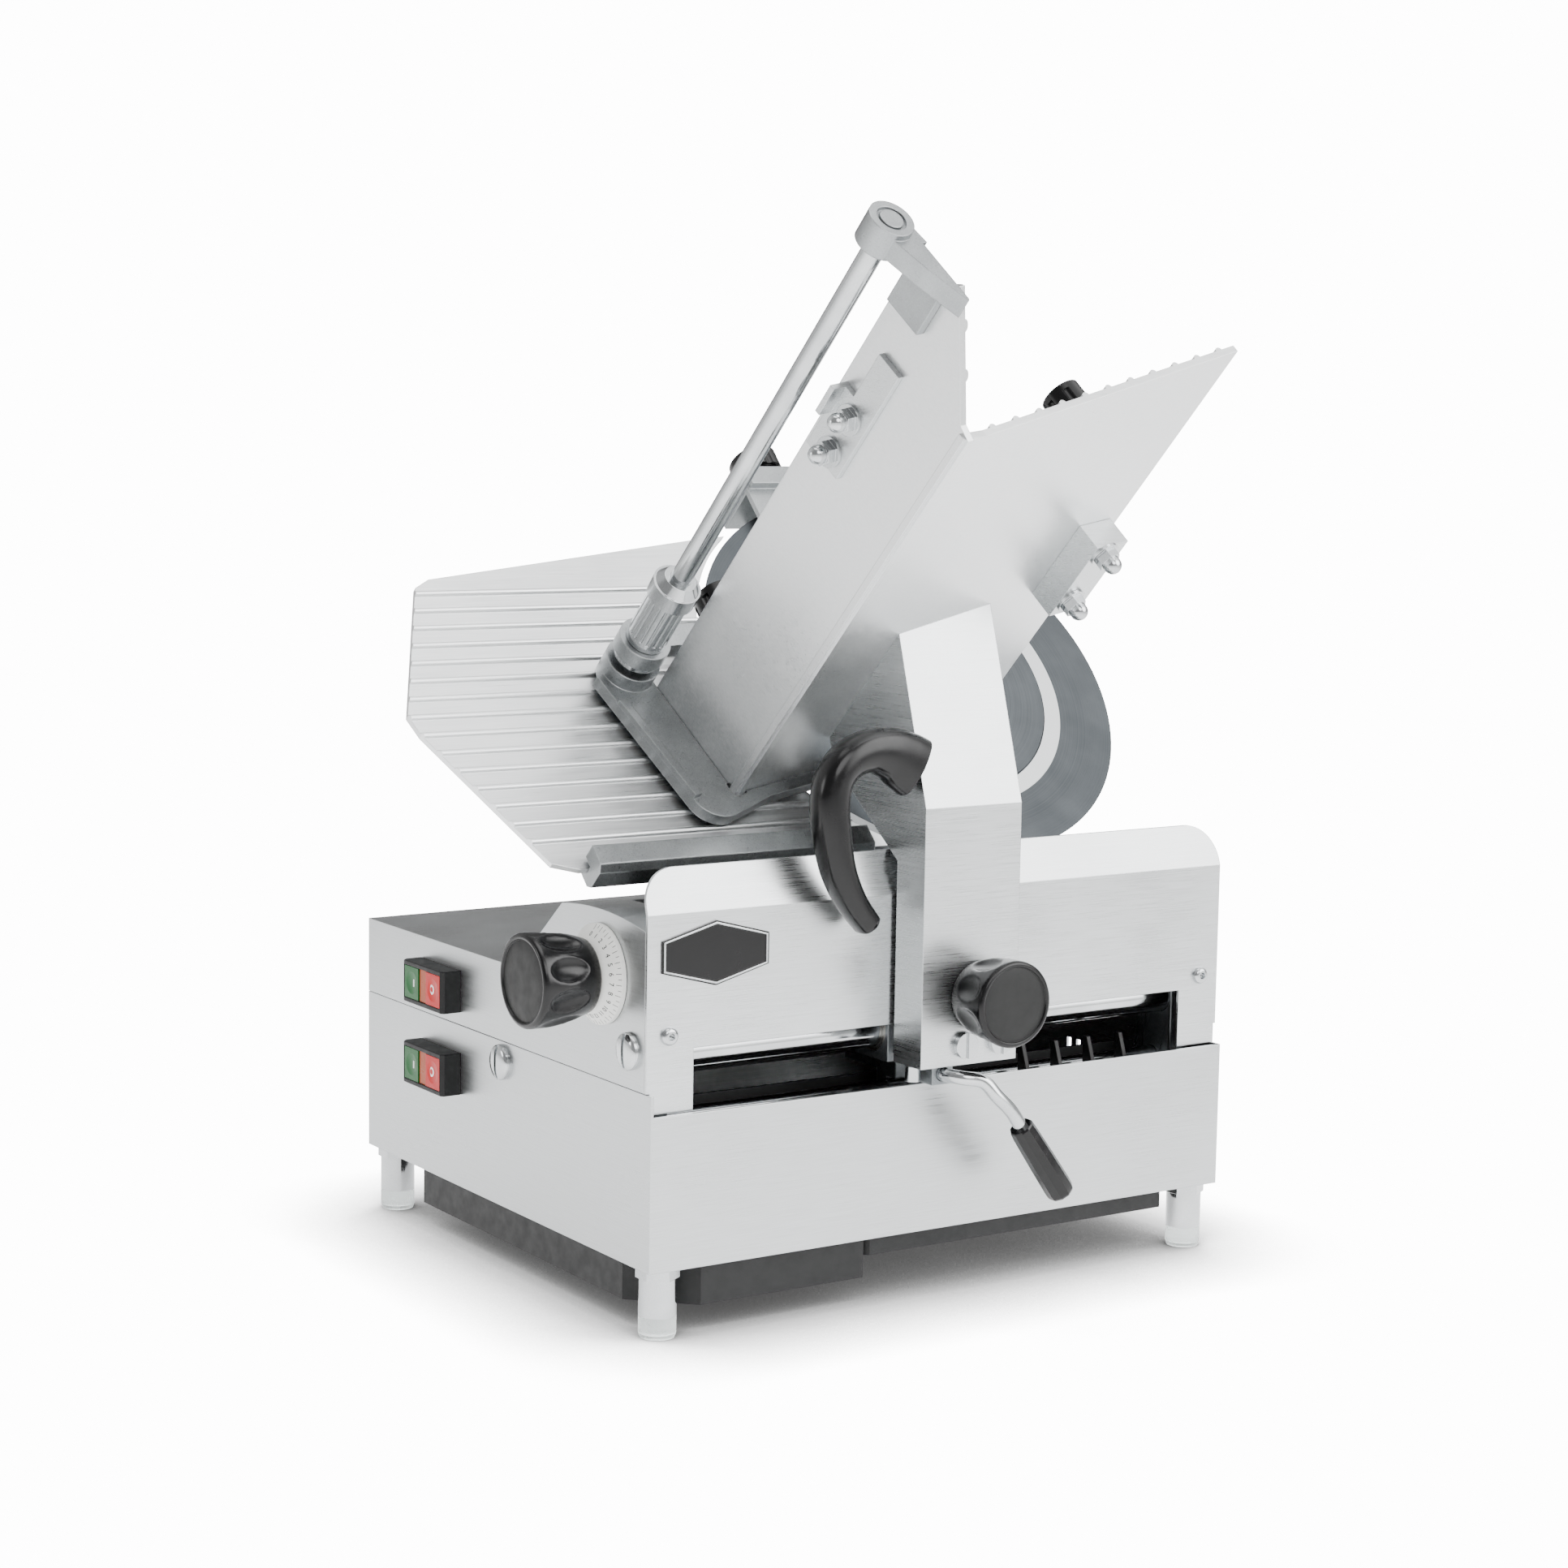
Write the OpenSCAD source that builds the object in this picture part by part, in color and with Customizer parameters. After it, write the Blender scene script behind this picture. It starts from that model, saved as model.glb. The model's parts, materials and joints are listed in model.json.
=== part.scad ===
// Gravity-feed deli slicer with a powered carriage.
// Drawn from the middle of the base, then set down so that the origin is under the near foot,
// the one at +X and -Y. +X is the carriage side, -Y the switch side, +Z up.

/* [Base] */
// Length of the base along the carriage stroke
base_l = 460; // [380:5:560]
// Depth of the base across the stroke
base_w = 394; // [340:2:480]
// Height of the feet under the casing
foot_h = 45; // [38:1:70]
// Height of the lower casing wrap
wrap_h = 112; // [95:1:140]
// Height of the upper housing above the wrap
housing_h = 53; // [45:1:70]
// Sheet thickness of the casings
sheet = 2; // [1.5:0.5:3]
// Foot diameter
foot_d = 24; // [20:1:36]

/* [Guard and slot] */
// Height of the long carriage slot
slot_h = 40; // [34:1:50]
// Width of the guard plate left at each end of the slot
slot_end = 34; // [28:1:50]
// Height of the guard bend above the slot
guard_h = 85; // [70:1:110]

/* [Feed] */
// Angle of the feed direction above the horizontal
feed_tilt = 44; // [40:1:48]
// Distance from the guard bend line to the cutting plane
feed_gap = 39.7; // [34:0.1:50]
// Diameter of the knife
blade_d = 320; // [250:5:350]
// Place of the knife centre along the stroke
blade_y = 91; // [70:1:120]
// Height of the knife's lowest point above the guard bend, up the slope
blade_low = 52.6; // [48:0.1:70]
// Gap between the cutting plane and the tray
tray_gap = 2.5; // [2:0.5:5]
// Thickest slice
slice_max = 15; // [8:1:20]

/* [Tray] */
// Length of the tray along the feed direction
tray_l = 348; // [280:1:420]
// Height of the tray's side wall
wall_h = 94; // [70:1:120]
// Width of the tray's floor plate
floor_w = 218; // [180:1:260]
// Thickness of the tray plates
tray_t = 5; // [4:0.5:8]
// Lean of the side wall away from square
wall_lean = 14; // [5:1:20]
// Rise of the floor plate
floor_rise = 12; // [5:1:18]
// Diameter of the pusher's guide rod
rod_d = 14; // [10:1:18]

/* [Carriage] */
// Width of the carriage arm
arm_w = 76; // [60:1:90]
// Depth of the folded edges of the arm
arm_depth = 30; // [24:1:40]
// Sheet thickness of the arm
arm_t = 4; // [3:0.5:6]
// Half of the carriage stroke
half_stroke = 140; // [100:5:150]
// Diameter of the carriage guide rod
guide_d = 25; // [20:1:30]

/* [Controls] */
// Diameter of the thickness knob
knob_d = 60; // [50:1:70]
// Length of the thickness knob
knob_l = 44; // [34:1:54]
// Diameter of the numbered dial
dial_d = 64; // [56:1:70]
// Diameter of the clamp knob on the arm
clamp_d = 56; // [46:1:60]
// Width of a switch housing
switch_w = 59; // [50:1:66]
// Height of a switch housing
switch_h = 29; // [26:1:36]
// Travel of a push button
press = 3; // [2:0.5:4]

/* [Hidden] */
$fn = 48;
gap = 0.4;               // clearance between moving faces
run = 0.05;              // radial running clearance of a shaft in its bore

half_l = base_l / 2;
half_w = base_w / 2;
seam_z = foot_h + wrap_h;
deck_z = seam_z + housing_h;
wrap_drop = 13.5;                       // the carriage side of the wrap is this much lower
slot_z = seam_z - wrap_drop;
slot_top = slot_z + slot_h;
guard_x = half_w - 6;                   // outer face of the guard plate
bend_z = slot_top + guard_h;
lip_h = 28;                             // leaning lip above the bend
lip_lean = 16;

// Front hub that carries the thickness dial
hub_x = guard_x - 56;
hub_z = bend_z - 44.5;
hub_top = bend_z - 3.6;
hub_crown = 294;                        // radius of the hub's crowned top
hub_l = 70;
hub_back = -half_l + hub_l;

// Feed frame: drawn as [along stroke, up the slope, along the feed]
module feed() {
    translate([guard_x, 0, bend_z])
        rotate([0, 90 - feed_tilt, 0])
            rotate([0, 0, 90])
                translate([0, 0, -feed_gap])
                    children();
}

// Knife
blade_r = blade_d / 2;
blade_s = blade_low + blade_r;
blade_t = 7;
cover_r = blade_r - 54;
dimple_step = (cover_r - 52) / 3;
shaft_r = 15;
tie_r = 5;
head_c = -14;                           // front face of the knife head casting
head_t = 44;
pulley_c = head_c - head_t - 4;
hood_x0 = guard_x - 178.5 - (bend_z - deck_z);  // far edge of the motor hood on the deck
pulley_w = 16;
blade_pulley_r = 34;
motor_pulley_r = 20;
motor_s = blade_low + 10;               // the motor sits down the slope under the knife

// Tray corner and walls
valley_y = -107;
valley_s = 107.6;
tray_c = tray_gap;
rod_y = valley_y - wall_h * sin(wall_lean) - 17;
rod_s = valley_s + wall_h * cos(wall_lean) + 15;
rod_end = tray_c + tray_l + 66;
sleeve_c = tray_c + 24;
sleeve_l = 78;

// Gauge plate
gauge_t = 4;
gauge_low = blade_low + 14;
gauge_h = blade_d - 34;                 // height of the plate beside the knife

// Carriage
arm_x = guard_x + 3 + arm_depth;        // outer face of the arm
arm_y = -8;
arm_foot_z = slot_z + 16;
arm_bend_z = bend_z + 59;
guide_x = guard_x - 31;
guide_z = slot_top - 8;
clamp_y = arm_y + 6;
clamp_z = slot_z + 61;
lever_y = arm_y - 17;
lever_z = slot_z + 10.6;

// Carriage drive
belt_x = guide_x - 52;
belt_z = guide_z - 6;
belt_r = 18;
belt_end = half_l - 40;
belt_w = 12;
belt_t = 2.4;

lever_x = arm_x - 9;
arm_lean = 17;                          // lean of the upper face
arm_top = bend_z + 210;
foot_screws = [[arm_y - 4, slot_z + 29], [arm_y + 24, slot_z + 29]];
rail_x = guide_x - 6;
rail_z = guide_z - 46;
rail_r = 8;
block_l = 64;
block_y = arm_y;

// Feet, undertray and casing openings
foot_x = half_w - 15.5;
foot_y = half_l - 15.5;
foot_pad_h = 14;
undertray_x = -half_w + 72;
undertray_y = -half_l + 168;            // the deep front part ends here
knife_motor_x = guard_x - 204;
vent_x = half_w * 0.62;
gland_x = -half_w + 60;
gland_z = foot_h + 26;
panel_screw_places = [[guard_x - 20, seam_z + 24]];
wrap_screw_places = [[guard_x - 186, seam_z - 14]];

// Switches
switch_x = -half_w + 84;
switch_zs = [seam_z - 48, deck_z - 44];
switch_d = 15;
button_w = switch_w * 0.36;

// Pusher
pusher_ring = 12;
pusher_y0 = wall_at(wall_h - 8, -tray_t - 5)[0] + 2;

// Fence along the tray's free edge
fence_w = 184;
fence_c = tray_c + 102;
fence_l = 158;
fence_h = 50;
fence_knob_c = fence_c + fence_l + 16;
fence_knob_h = 50.2;
bracket_w = 180;
bracket_c = 163;
bracket_l = 67;
bracket_d = 20;

// Thickness cam and gauge guides
mark_step = 13.5;                       // turn of the knob for each millimetre of slice
cam_turn = mark_step * slice_max;
cam_y = -half_l + 44;
cam_s = 56 * sin(feed_tilt) - 44.5 * cos(feed_tilt);
cam_c = feed_gap - 56 * cos(feed_tilt) - 44.5 * sin(feed_tilt);
cam_big = 29;
follower_r = 3;
follower_c = cam_c + cam_big + gap + follower_r;
guide_pin_r = 7;
guide_pin_y = [-112, -36];
guide_pin_s = gauge_low - 22;

// Colours
steel = [0.76, 0.77, 0.78];
bright = [0.86, 0.87, 0.88];
black = [0.09, 0.09, 0.10];

module ring(r_out, r_in, h) {
    difference() {
        cylinder(r = r_out, h = h);
        translate([0, 0, -1]) cylinder(r = r_in, h = h + 2);
    }
}

// ---------- casings ----------
module base_wrap() {
    color(steel) difference() {
        translate([-half_w, -half_l, foot_h]) cube([base_w, base_l, wrap_h]);
        translate([-half_w + sheet, -half_l + sheet, foot_h - 1])
            cube([base_w - 2 * sheet, base_l - 2 * sheet, wrap_h + 2]);
        translate([guard_x - sheet, -half_l + sheet, slot_z]) cube([20, base_l, wrap_h]);
        for (p = wrap_screw_places)
            translate([p[0], -half_l - 1, p[1]]) rotate([-90, 0, 0]) cylinder(r = 5.2, h = sheet + 2);
        translate([gland_x, half_l - sheet - 1, gland_z]) rotate([-90, 0, 0])
            cylinder(r = 8.2, h = sheet + 2);
        for (x = [-vent_x, vent_x / 4])
            for (i = [0:6])
                translate([x + i * 11, half_l - sheet - 1, foot_h + 40]) cube([5, sheet + 2, 34]);
    }
}

module hub_outline(inset) {
    x1 = guard_x - sheet - gap - inset;
    z0 = deck_z - sheet - 1;
    z1 = hub_top - inset;
    intersection() {
        polygon([[hub_x - 112 + inset, z0], [hub_x - 112 + inset, deck_z - inset],
            [hub_x - 50 + inset, z1 - 2.6],
            [hub_x - 42, z1 + 9], [x1, z1 + 9], [x1, z0]]);
        translate([hub_x - 8, z1 - hub_crown]) circle(r = hub_crown, $fn = 200);
    }
}

module upper_housing() {
    x_right = guard_x - sheet - gap;
    color(steel) difference() {
        union() {
            translate([-half_w, -half_l, seam_z + gap]) cube([half_w + x_right, base_l, housing_h - gap]);
            translate([0, hub_back, 0]) rotate([90, 0, 0]) linear_extrude(hub_l) hub_outline(0);
        }
        translate([-half_w + sheet, -half_l + sheet, seam_z - 1])
            cube([base_w, base_l - 2 * sheet, housing_h + 1 - sheet]);
        translate([0, hub_back - sheet, 0]) rotate([90, 0, 0])
            linear_extrude(hub_l - 2 * sheet) hub_outline(sheet);
        // shaft hole in the front face
        translate([hub_x, -half_l - 1, hub_z]) rotate([-90, 0, 0]) cylinder(r = 9, h = sheet + 2);
        // slot for the gauge follower's leg
        translate([hub_x - 24, cam_y - 9, hub_top - 40]) cube([76, 24, 60]);
        // opening for the knife head and its motor, under the hood
        translate([hood_x0 + 6, blade_y - 56, deck_z - sheet - 1])
            cube([guard_x - 58 - hood_x0, 112, sheet + 2]);
        // front screws
        for (p = panel_screw_places)
            translate([p[0], -half_l - 1, p[1]]) rotate([-90, 0, 0]) cylinder(r = 5.2, h = sheet + 2);
    }
}

module slot_guard() {
    k = tan(lip_lean);
    w = sheet / cos(lip_lean);
    x_in = guard_x - sheet;
    color(bright) difference() {
        translate([0, half_l, 0]) rotate([90, 0, 0]) linear_extrude(base_l)
            polygon([[x_in, slot_z + gap], [guard_x, slot_z + gap], [guard_x, bend_z],
                [guard_x - k * lip_h, bend_z + lip_h],
                [guard_x - w - k * lip_h, bend_z + lip_h], [x_in - w + sheet, bend_z]]);
        translate([x_in - 1, -half_l + slot_end, slot_z - 1])
            cube([sheet + 2, base_l - 2 * slot_end, slot_h + 1]);
        // rounded corners of the lip
        for (side = [[-1, 22], [1, 26]])
            translate([guard_x - 30, 0, bend_z]) rotate([90, 0, 90]) linear_extrude(40)
                lip_corner(side[0], side[1]);
        // the wrap's front and back walls pass here
        for (y = [-half_l - 1, half_l - sheet - gap])
            translate([x_in - 1, y, slot_z - 1]) cube([sheet + 2, sheet + gap + 1, wrap_drop + gap + 1]);
        for (y = [-1, 1])
            translate([x_in - 1, y * (half_l - 16), slot_top + 9]) rotate([0, 90, 0])
                cylinder(r = 3.2, h = sheet + 2);
    }
}

module lip_corner(side, r) {
    translate([side * (half_l - r), lip_h - r]) difference() {
        translate([side > 0 ? 0 : -r - 1, 0]) square([r + 1, r + 1]);
        circle(r = r, $fn = 64);
    }
}

module bottom_plate() {
    color(steel) difference() {
        translate([-half_w + sheet + gap, -half_l + sheet + gap, foot_h + gap])
            cube([base_w - 2 * sheet - 2 * gap, base_l - 2 * sheet - 2 * gap, 3]);
        for (x = [-1, 1], y = [-1, 1])
            translate([x * foot_x, y * foot_y, foot_h - 1]) cylinder(r = 5, h = 6);
        translate([knife_motor_x - 66, blade_y - 62, foot_h - 1]) cube([124, 124, 6]);
    }
}

module undertray(x0, x1, y0, y1, depth, cut) {
    wall = 3;
    difference() {
        undertray_solid(x0, x1, y0, y1, foot_h - depth, foot_h, cut);
        undertray_solid(x0 + wall, x1 - wall, y0 + wall, y1 - wall, foot_h - depth + wall, foot_h + 1, cut);
    }
}

module undertray_solid(x0, x1, y0, y1, z0, z1, cut) {
    translate([0, 0, z0]) linear_extrude(z1 - z0)
        polygon([[x0, y0], [x1 - cut, y0], [x1, y0 + cut], [x1, y1], [x0, y1]]);
}

module front_undertray() {
    color(black) undertray(undertray_x, half_w - 10, -half_l + 8, undertray_y, 28, 36);
}

module side_undertray() {
    color(black) undertray(undertray_x, half_w - 10, undertray_y + 1, half_l - 42, 14, 4);
}

module feet_posts() {
    color(bright) for (x = [-1, 1], y = [-1, 1]) translate([x * foot_x, y * foot_y, 0]) {
        translate([0, 0, foot_pad_h]) cylinder(r = foot_d / 2, h = foot_h - foot_pad_h - 7);
        translate([0, 0, foot_h - 7]) cylinder(r = foot_d / 2 + 2, h = 7, $fn = 6);
        translate([0, 0, foot_h - 1]) cylinder(r = 4.8, h = 12);
    }
}

module feet_pads() {
    color([0.85, 0.88, 0.88, 0.7]) for (x = [-1, 1], y = [-1, 1]) translate([x * foot_x, y * foot_y, 0]) {
        cylinder(r1 = foot_d / 2 - 1, r2 = foot_d / 2, h = 3);
        translate([0, 0, 3]) cylinder(r = foot_d / 2, h = foot_pad_h - 3);
    }
}

// ---------- switches ----------

module at_switch(i) {
    translate([switch_x, -half_l, switch_zs[i]]) children();
}

module switch_housings() {
    color(black) for (i = [0, 1]) at_switch(i) difference() {
        rotate([-90, 0, 0]) translate([0, -switch_h, -switch_d]) linear_extrude(switch_d)
            square([switch_w, switch_h]);
        translate([3, -switch_d - 1, 3]) cube([switch_w - 6, 11, switch_h - 6]);
        for (x = [-1, switch_w + 1]) translate([x, -switch_d, 0]) rotate([0, 0, 45])
            translate([-2.4, -2.4, -1]) cube([4.8, 4.8, switch_h + 2]);
    }
}

module switch_lamps() {
    color([0.95, 0.45, 0.08]) for (i = [0, 1]) at_switch(i)
        translate([3 + button_w + gap, -switch_d + 1, 3.2])
            cube([switch_w - 6 - 2 * button_w - 2 * gap, 9, switch_h - 6.4]);
}

module button(i, side, tint) {
    color(tint) at_switch(i) translate([side > 0 ? switch_w - 3 - button_w : 3, -switch_d, 3])
        difference() {
        translate([gap, 0.2, gap]) cube([button_w - 2 * gap, 5, switch_h - 6 - 2 * gap]);
        translate([button_w / 2, 0.2 - 38, switch_h / 2 - 3]) sphere(r = 38.8, $fn = 96);
    }
}

module panel_screw(x, z) {
    translate([x, -half_l, z]) rotate([90, 0, 0]) difference() {
        union() {
            translate([0, 0, 0.1]) cylinder(r = 12, h = 5.4);
            translate([0, 0, -8]) cylinder(r = 5, h = 8.4);
        }
        translate([-1.5, -13, 3]) cube([3, 26, 4]);
    }
}

module casing_screws() {
    color(bright) {
        guard_screws();
        for (p = panel_screw_places) panel_screw(p[0], p[1]);
        for (p = wrap_screw_places) panel_screw(p[0], p[1]);
    }
}

module guard_screws() {
    for (y = [-1, 1]) translate([guard_x, y * (half_l - 16), slot_top + 9]) rotate([0, 90, 0])
        difference() {
        union() {
            translate([0, 0, 0.1]) cylinder(r = 6, h = 2);
            translate([0, 0, 2.1]) cylinder(r1 = 6, r2 = 3.6, h = 1.6);
            translate([0, 0, -7]) cylinder(r = 3, h = 7.2);
        }
        translate([0, 0, 2]) cylinder(r = 2, h = 3, $fn = 6);
    }
}

module cable_gland() {
    color(black) translate([gland_x, half_l, gland_z]) rotate([-90, 0, 0]) difference() {
        union() {
            translate([0, 0, -sheet - 8]) cylinder(r = 8, h = sheet + 10);
            translate([0, 0, 0.1]) cylinder(r = 12, h = 5, $fn = 6);
            translate([0, 0, 5]) cylinder(r1 = 10, r2 = 8, h = 9);
            translate([0, 0, -sheet - 6.1]) cylinder(r = 11, h = 6, $fn = 6);
        }
        translate([0, 0, -20]) cylinder(r = 4.2, h = 50);
    }
}

// ---------- carriage track ----------
module guide_rods() {
    color(bright) {
        translate([guide_x, half_l - 10, guide_z]) rotate([90, 0, 0])
            cylinder(r = guide_d / 2, h = base_l - 20);
        translate([rail_x, half_l - 12, rail_z]) rotate([90, 0, 0]) cylinder(r = rail_r, h = base_l - 24);
    }
}

module rod_supports() {
    color(steel) for (y = [-half_l + 12, half_l - 26]) difference() {
        translate([guide_x - 22, y, foot_h + 4]) cube([36, 14, guide_z + guide_d / 2 + 6 - foot_h - 4]);
        translate([guide_x, y - 1, guide_z]) rotate([-90, 0, 0]) cylinder(r = guide_d / 2, h = 16);
        translate([rail_x, y - 1, rail_z]) rotate([-90, 0, 0]) cylinder(r = rail_r, h = 16);
    }
}

module slot_liner() {
    z = rail_z - 20;
    x0 = guide_x - 25;
    color(black) union() {
        translate([x0, -half_l + 28, z]) cube([guard_x - sheet - 2 - x0, base_l - 56, 3]);
        translate([x0, -half_l + 28, z]) cube([3, base_l - 56, 30]);
        for (i = [0:3]) translate([rail_x + rail_r + 4, half_l - 150 + i * 28, z]) rotate([90, 0, 0])
            linear_extrude(3) polygon([[0, 0], [20, 0], [4, 44], [0, 44]]);
    }
}

module slide_block() {
    color(steel) difference() {
        union() {
            translate([guide_x - 19, block_y - block_l / 2, guide_z - 20]) cube([38, block_l, 36]);
            translate([rail_x - 13, block_y - 14, rail_z - 12]) cube([12, 28, guide_z - rail_z]);
            translate([rail_x - 13, block_y - 14, rail_z + 10]) cube([22, 28, 18]);
            // jaws on the lower run of the carriage belt
            for (z = [belt_z - belt_r - 0.35 + gap, belt_z - belt_r - 0.35 - belt_t - gap - 6])
                translate([belt_x - 7, block_y - 12, z]) cube([guide_x - 12 - belt_x, 24, 6]);
            translate([belt_x + 7, block_y - 12, belt_z - belt_r - belt_t - 6.7]) cube([10, 24, 14]);
        }
        translate([guide_x, block_y - block_l, guide_z]) rotate([-90, 0, 0])
            cylinder(r = guide_d / 2 + 3, h = 2 * block_l);
        translate([rail_x, block_y - 20, rail_z]) rotate([-90, 0, 0]) cylinder(r = rail_r + 0.3, h = 40);
    }
}

module slide_bushes() {
    color([0.75, 0.6, 0.3]) for (y = [block_y - block_l / 2, block_y + block_l / 2 - 20])
        translate([guide_x, y, guide_z]) rotate([-90, 0, 0]) ring(guide_d / 2 + 3, guide_d / 2 + run, 20);
}

// ---------- arm ----------

module arm_section(x_in, x_out) {
    // side view of the folded plate: x_in and x_out are depths behind the outer face
    k = tan(arm_lean);
    polygon([[arm_x - x_out, arm_foot_z], [arm_x - x_out, arm_bend_z],
        [arm_x - x_out - k * (arm_top - arm_bend_z), arm_top],
        [arm_x - x_in - k * (arm_top - arm_bend_z),
            arm_top], [arm_x - x_in, arm_bend_z], [arm_x - x_in, arm_foot_z]]);
}

module arm_leg() {
    k = tan(arm_lean);
    polygon([[arm_x, arm_foot_z], [arm_x, arm_bend_z], [arm_x - k * (arm_top - arm_bend_z), arm_top],
        [arm_x - 150, arm_top], [arm_x - 104, arm_bend_z + 18], [arm_x - arm_depth, bend_z + 22],
            [arm_x - arm_depth, arm_foot_z]]);
}

module arm() {
    color(bright) difference() {
        union() {
            translate([0, arm_y + arm_w / 2, 0]) rotate([90, 0, 0]) linear_extrude(arm_w)
                arm_section(arm_t, 0);
            for (y = [arm_y - arm_w / 2 + arm_t, arm_y + arm_w / 2])
                translate([0, y, 0]) rotate([90, 0, 0]) linear_extrude(arm_t) arm_leg();
        }
        // trimmed to the underside of the tray floor
        feed() translate([valley_y, valley_s, 0]) rotate([0, 0, floor_rise])
            translate([-200, 0, -200]) cube([600, 500, 900]);
        // knob stud and foot screws
        translate([arm_x - arm_depth, clamp_y, clamp_z]) rotate([0, 90, 0]) cylinder(r = 5 + gap, h = 60);
        for (p = foot_screws) translate([arm_x - 10, p[0], p[1]]) rotate([0, 90, 0])
            cylinder(r = 5, h = 20);
    }
}

module arm_foot() {
    // bar that passes through the slot to the slide block, and the block that fills the arm
    z0 = slot_z + 18;
    color(steel) difference() {
        union() {
            translate([guide_x + 19.2, arm_y - 28, z0])
                cube([arm_x - arm_t - guide_x - 19.4, 56, slot_top - 3 - z0]);
            translate([guard_x + 4, arm_y - 31, z0]) cube([arm_x - arm_t - guard_x - 4.2, 62, 62]);
            // bearing of the lever's shaft, hanging under the block
            translate([lever_x - 13, lever_y - 8, lever_z - 7]) cube([17, 16, z0 - lever_z + 8]);
        }
        translate([arm_x - arm_depth - 5, clamp_y, clamp_z]) rotate([0, 90, 0])
            cylinder(r = 5 + run, h = 60);
        translate([lever_x - 20, lever_y, lever_z]) rotate([0, 90, 0]) cylinder(r = 5 + run, h = 40);
        for (p = foot_screws) translate([arm_x - 22, p[0], p[1]]) rotate([0, 90, 0])
            cylinder(r = 5, h = 30);
    }
}

module arm_screws() {
    color(bright) {
        for (p = foot_screws) translate([arm_x, p[0], p[1]]) rotate([0, 90, 0]) difference() {
            union() {
                translate([0, 0, 0.1]) cylinder(r = 8.5, h = 4);
                translate([0, 0, -20]) cylinder(r = 5, h = 20.2);
            }
            translate([-9, -1.2, 2.4]) cube([18, 2.4, 3]);
        }
        translate([arm_x - 14, arm_y - 34, arm_foot_z - 10]) cylinder(r = 5, h = 9.9);
    }
}

module handle() {
    x = arm_x - 14;
    y0 = arm_y - arm_w / 2 - 0.2;
    z0 = bend_z + 84;
    color(black) union() {
        translate([x, y0, z0]) grip_bar([0, -12.2, -8], [0, -24, 16], 12, 11);
        translate([x, y0, z0]) grip_bar([0, -24, 16], [0, -52, 12], 11, 10);
        translate([x, y0, z0]) grip_bar([0, -52, 12], [0, -64, -14], 10, 11);
        translate([x, y0, z0]) grip_bar([0, -64, -14], [0, -54, -62], 11, 11);
        translate([x, y0, z0]) grip_bar([0, -54, -62], [0, -30, -94], 11, 8);
        translate([x - 12, y0 - 10, z0 - 24]) cube([24, 10, 44]);
    }
}

module grip_bar(a, b, r1, r2) {
    hull() {
        translate(a) sphere(r = r1, $fn = 32);
        translate(b) sphere(r = r2, $fn = 32);
    }
}

module lobed_knob(d, l, lobes) {
    r = d / 2;
    difference() {
        union() {
            cylinder(r = r * 0.8, h = l * 0.25);
            translate([0, 0, l * 0.2]) cylinder(r = r, h = l * 0.8);
        }
        for (i = [0:lobes - 1]) rotate([0, 0, i * 360 / lobes])
            translate([r * 1.14, 0, -1]) cylinder(r = r * 0.24, h = l * 0.82);
        translate([0, 0, l - 1.5]) ring(r * 0.82, r * 0.76, 3);
    }
}

module clamp_knob() {
    color(black) translate([arm_x, clamp_y, clamp_z]) rotate([0, 90, 0]) {
        translate([0, 0, gap]) lobed_knob(clamp_d, 40, 8);
        translate([0, 0, -26]) cylinder(r = 5, h = 30);
    }
}

module lever() {
    // clutch lever: shaft along X, then a bent rod
    color(bright) union() {
        translate([lever_x - 14, lever_y, lever_z]) rotate([0, 90, 0]) cylinder(r = 5, h = 30);
        translate([lever_x + 10, lever_y, lever_z]) rotate([0, 90, 0]) cylinder(r = 8, h = 10);
        translate([lever_x + 16, lever_y, lever_z]) rod_between([0, 0, 0], [10, 26, -8], 4.5);
        translate([lever_x + 16, lever_y, lever_z]) rod_between([10, 26, -8], [14, 44, -34], 4.5);
    }
}

module rod_between(a, b, r) {
    v = b - a;
    l = norm(v);
    translate(a) {
        sphere(r = r + 0.4);
        rotate([0, acos(v[2] / l), atan2(v[1], v[0])]) cylinder(r = r, h = l);
    }
}

module lever_grip() {
    a = [14, 44, -34];
    v = [0, 36, -50];
    color(black) translate([lever_x + 16, lever_y, lever_z]) translate(a)
        rotate([0, acos(v[2] / norm(v)), atan2(v[1], v[0])]) difference() {
            union() {
                cylinder(r = 9.5, h = 60);
                translate([0, 0, 60]) cylinder(r1 = 9.5, r2 = 7, h = 3);
            }
            translate([0, 0, -1]) cylinder(r = 4.6, h = 1.2);
        }
}

// ---------- tray ----------
function wall_at(h, out) = [valley_y - h * sin(wall_lean) - out * cos(wall_lean),
    valley_s + h * cos(wall_lean) - out * sin(wall_lean)];
function floor_at(w, under) = [valley_y + w * cos(floor_rise) + under * sin(floor_rise),
    valley_s + w * sin(floor_rise) - under * cos(floor_rise)];

module tray_wall_outline() {
    // [height, along feed]
    polygon([[-2, 0], [wall_h, 0], [wall_h, tray_l + 36], [wall_h * 0.62, tray_l + 66],
        [8, tray_l + 2], [-2, tray_l - 1]]);
}

module tray_floor_outline() {
    polygon([[-2, 0], [floor_w, 0], [floor_w, tray_l + 32], [18, tray_l - 2], [-2, tray_l - 1]]);
}

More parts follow.
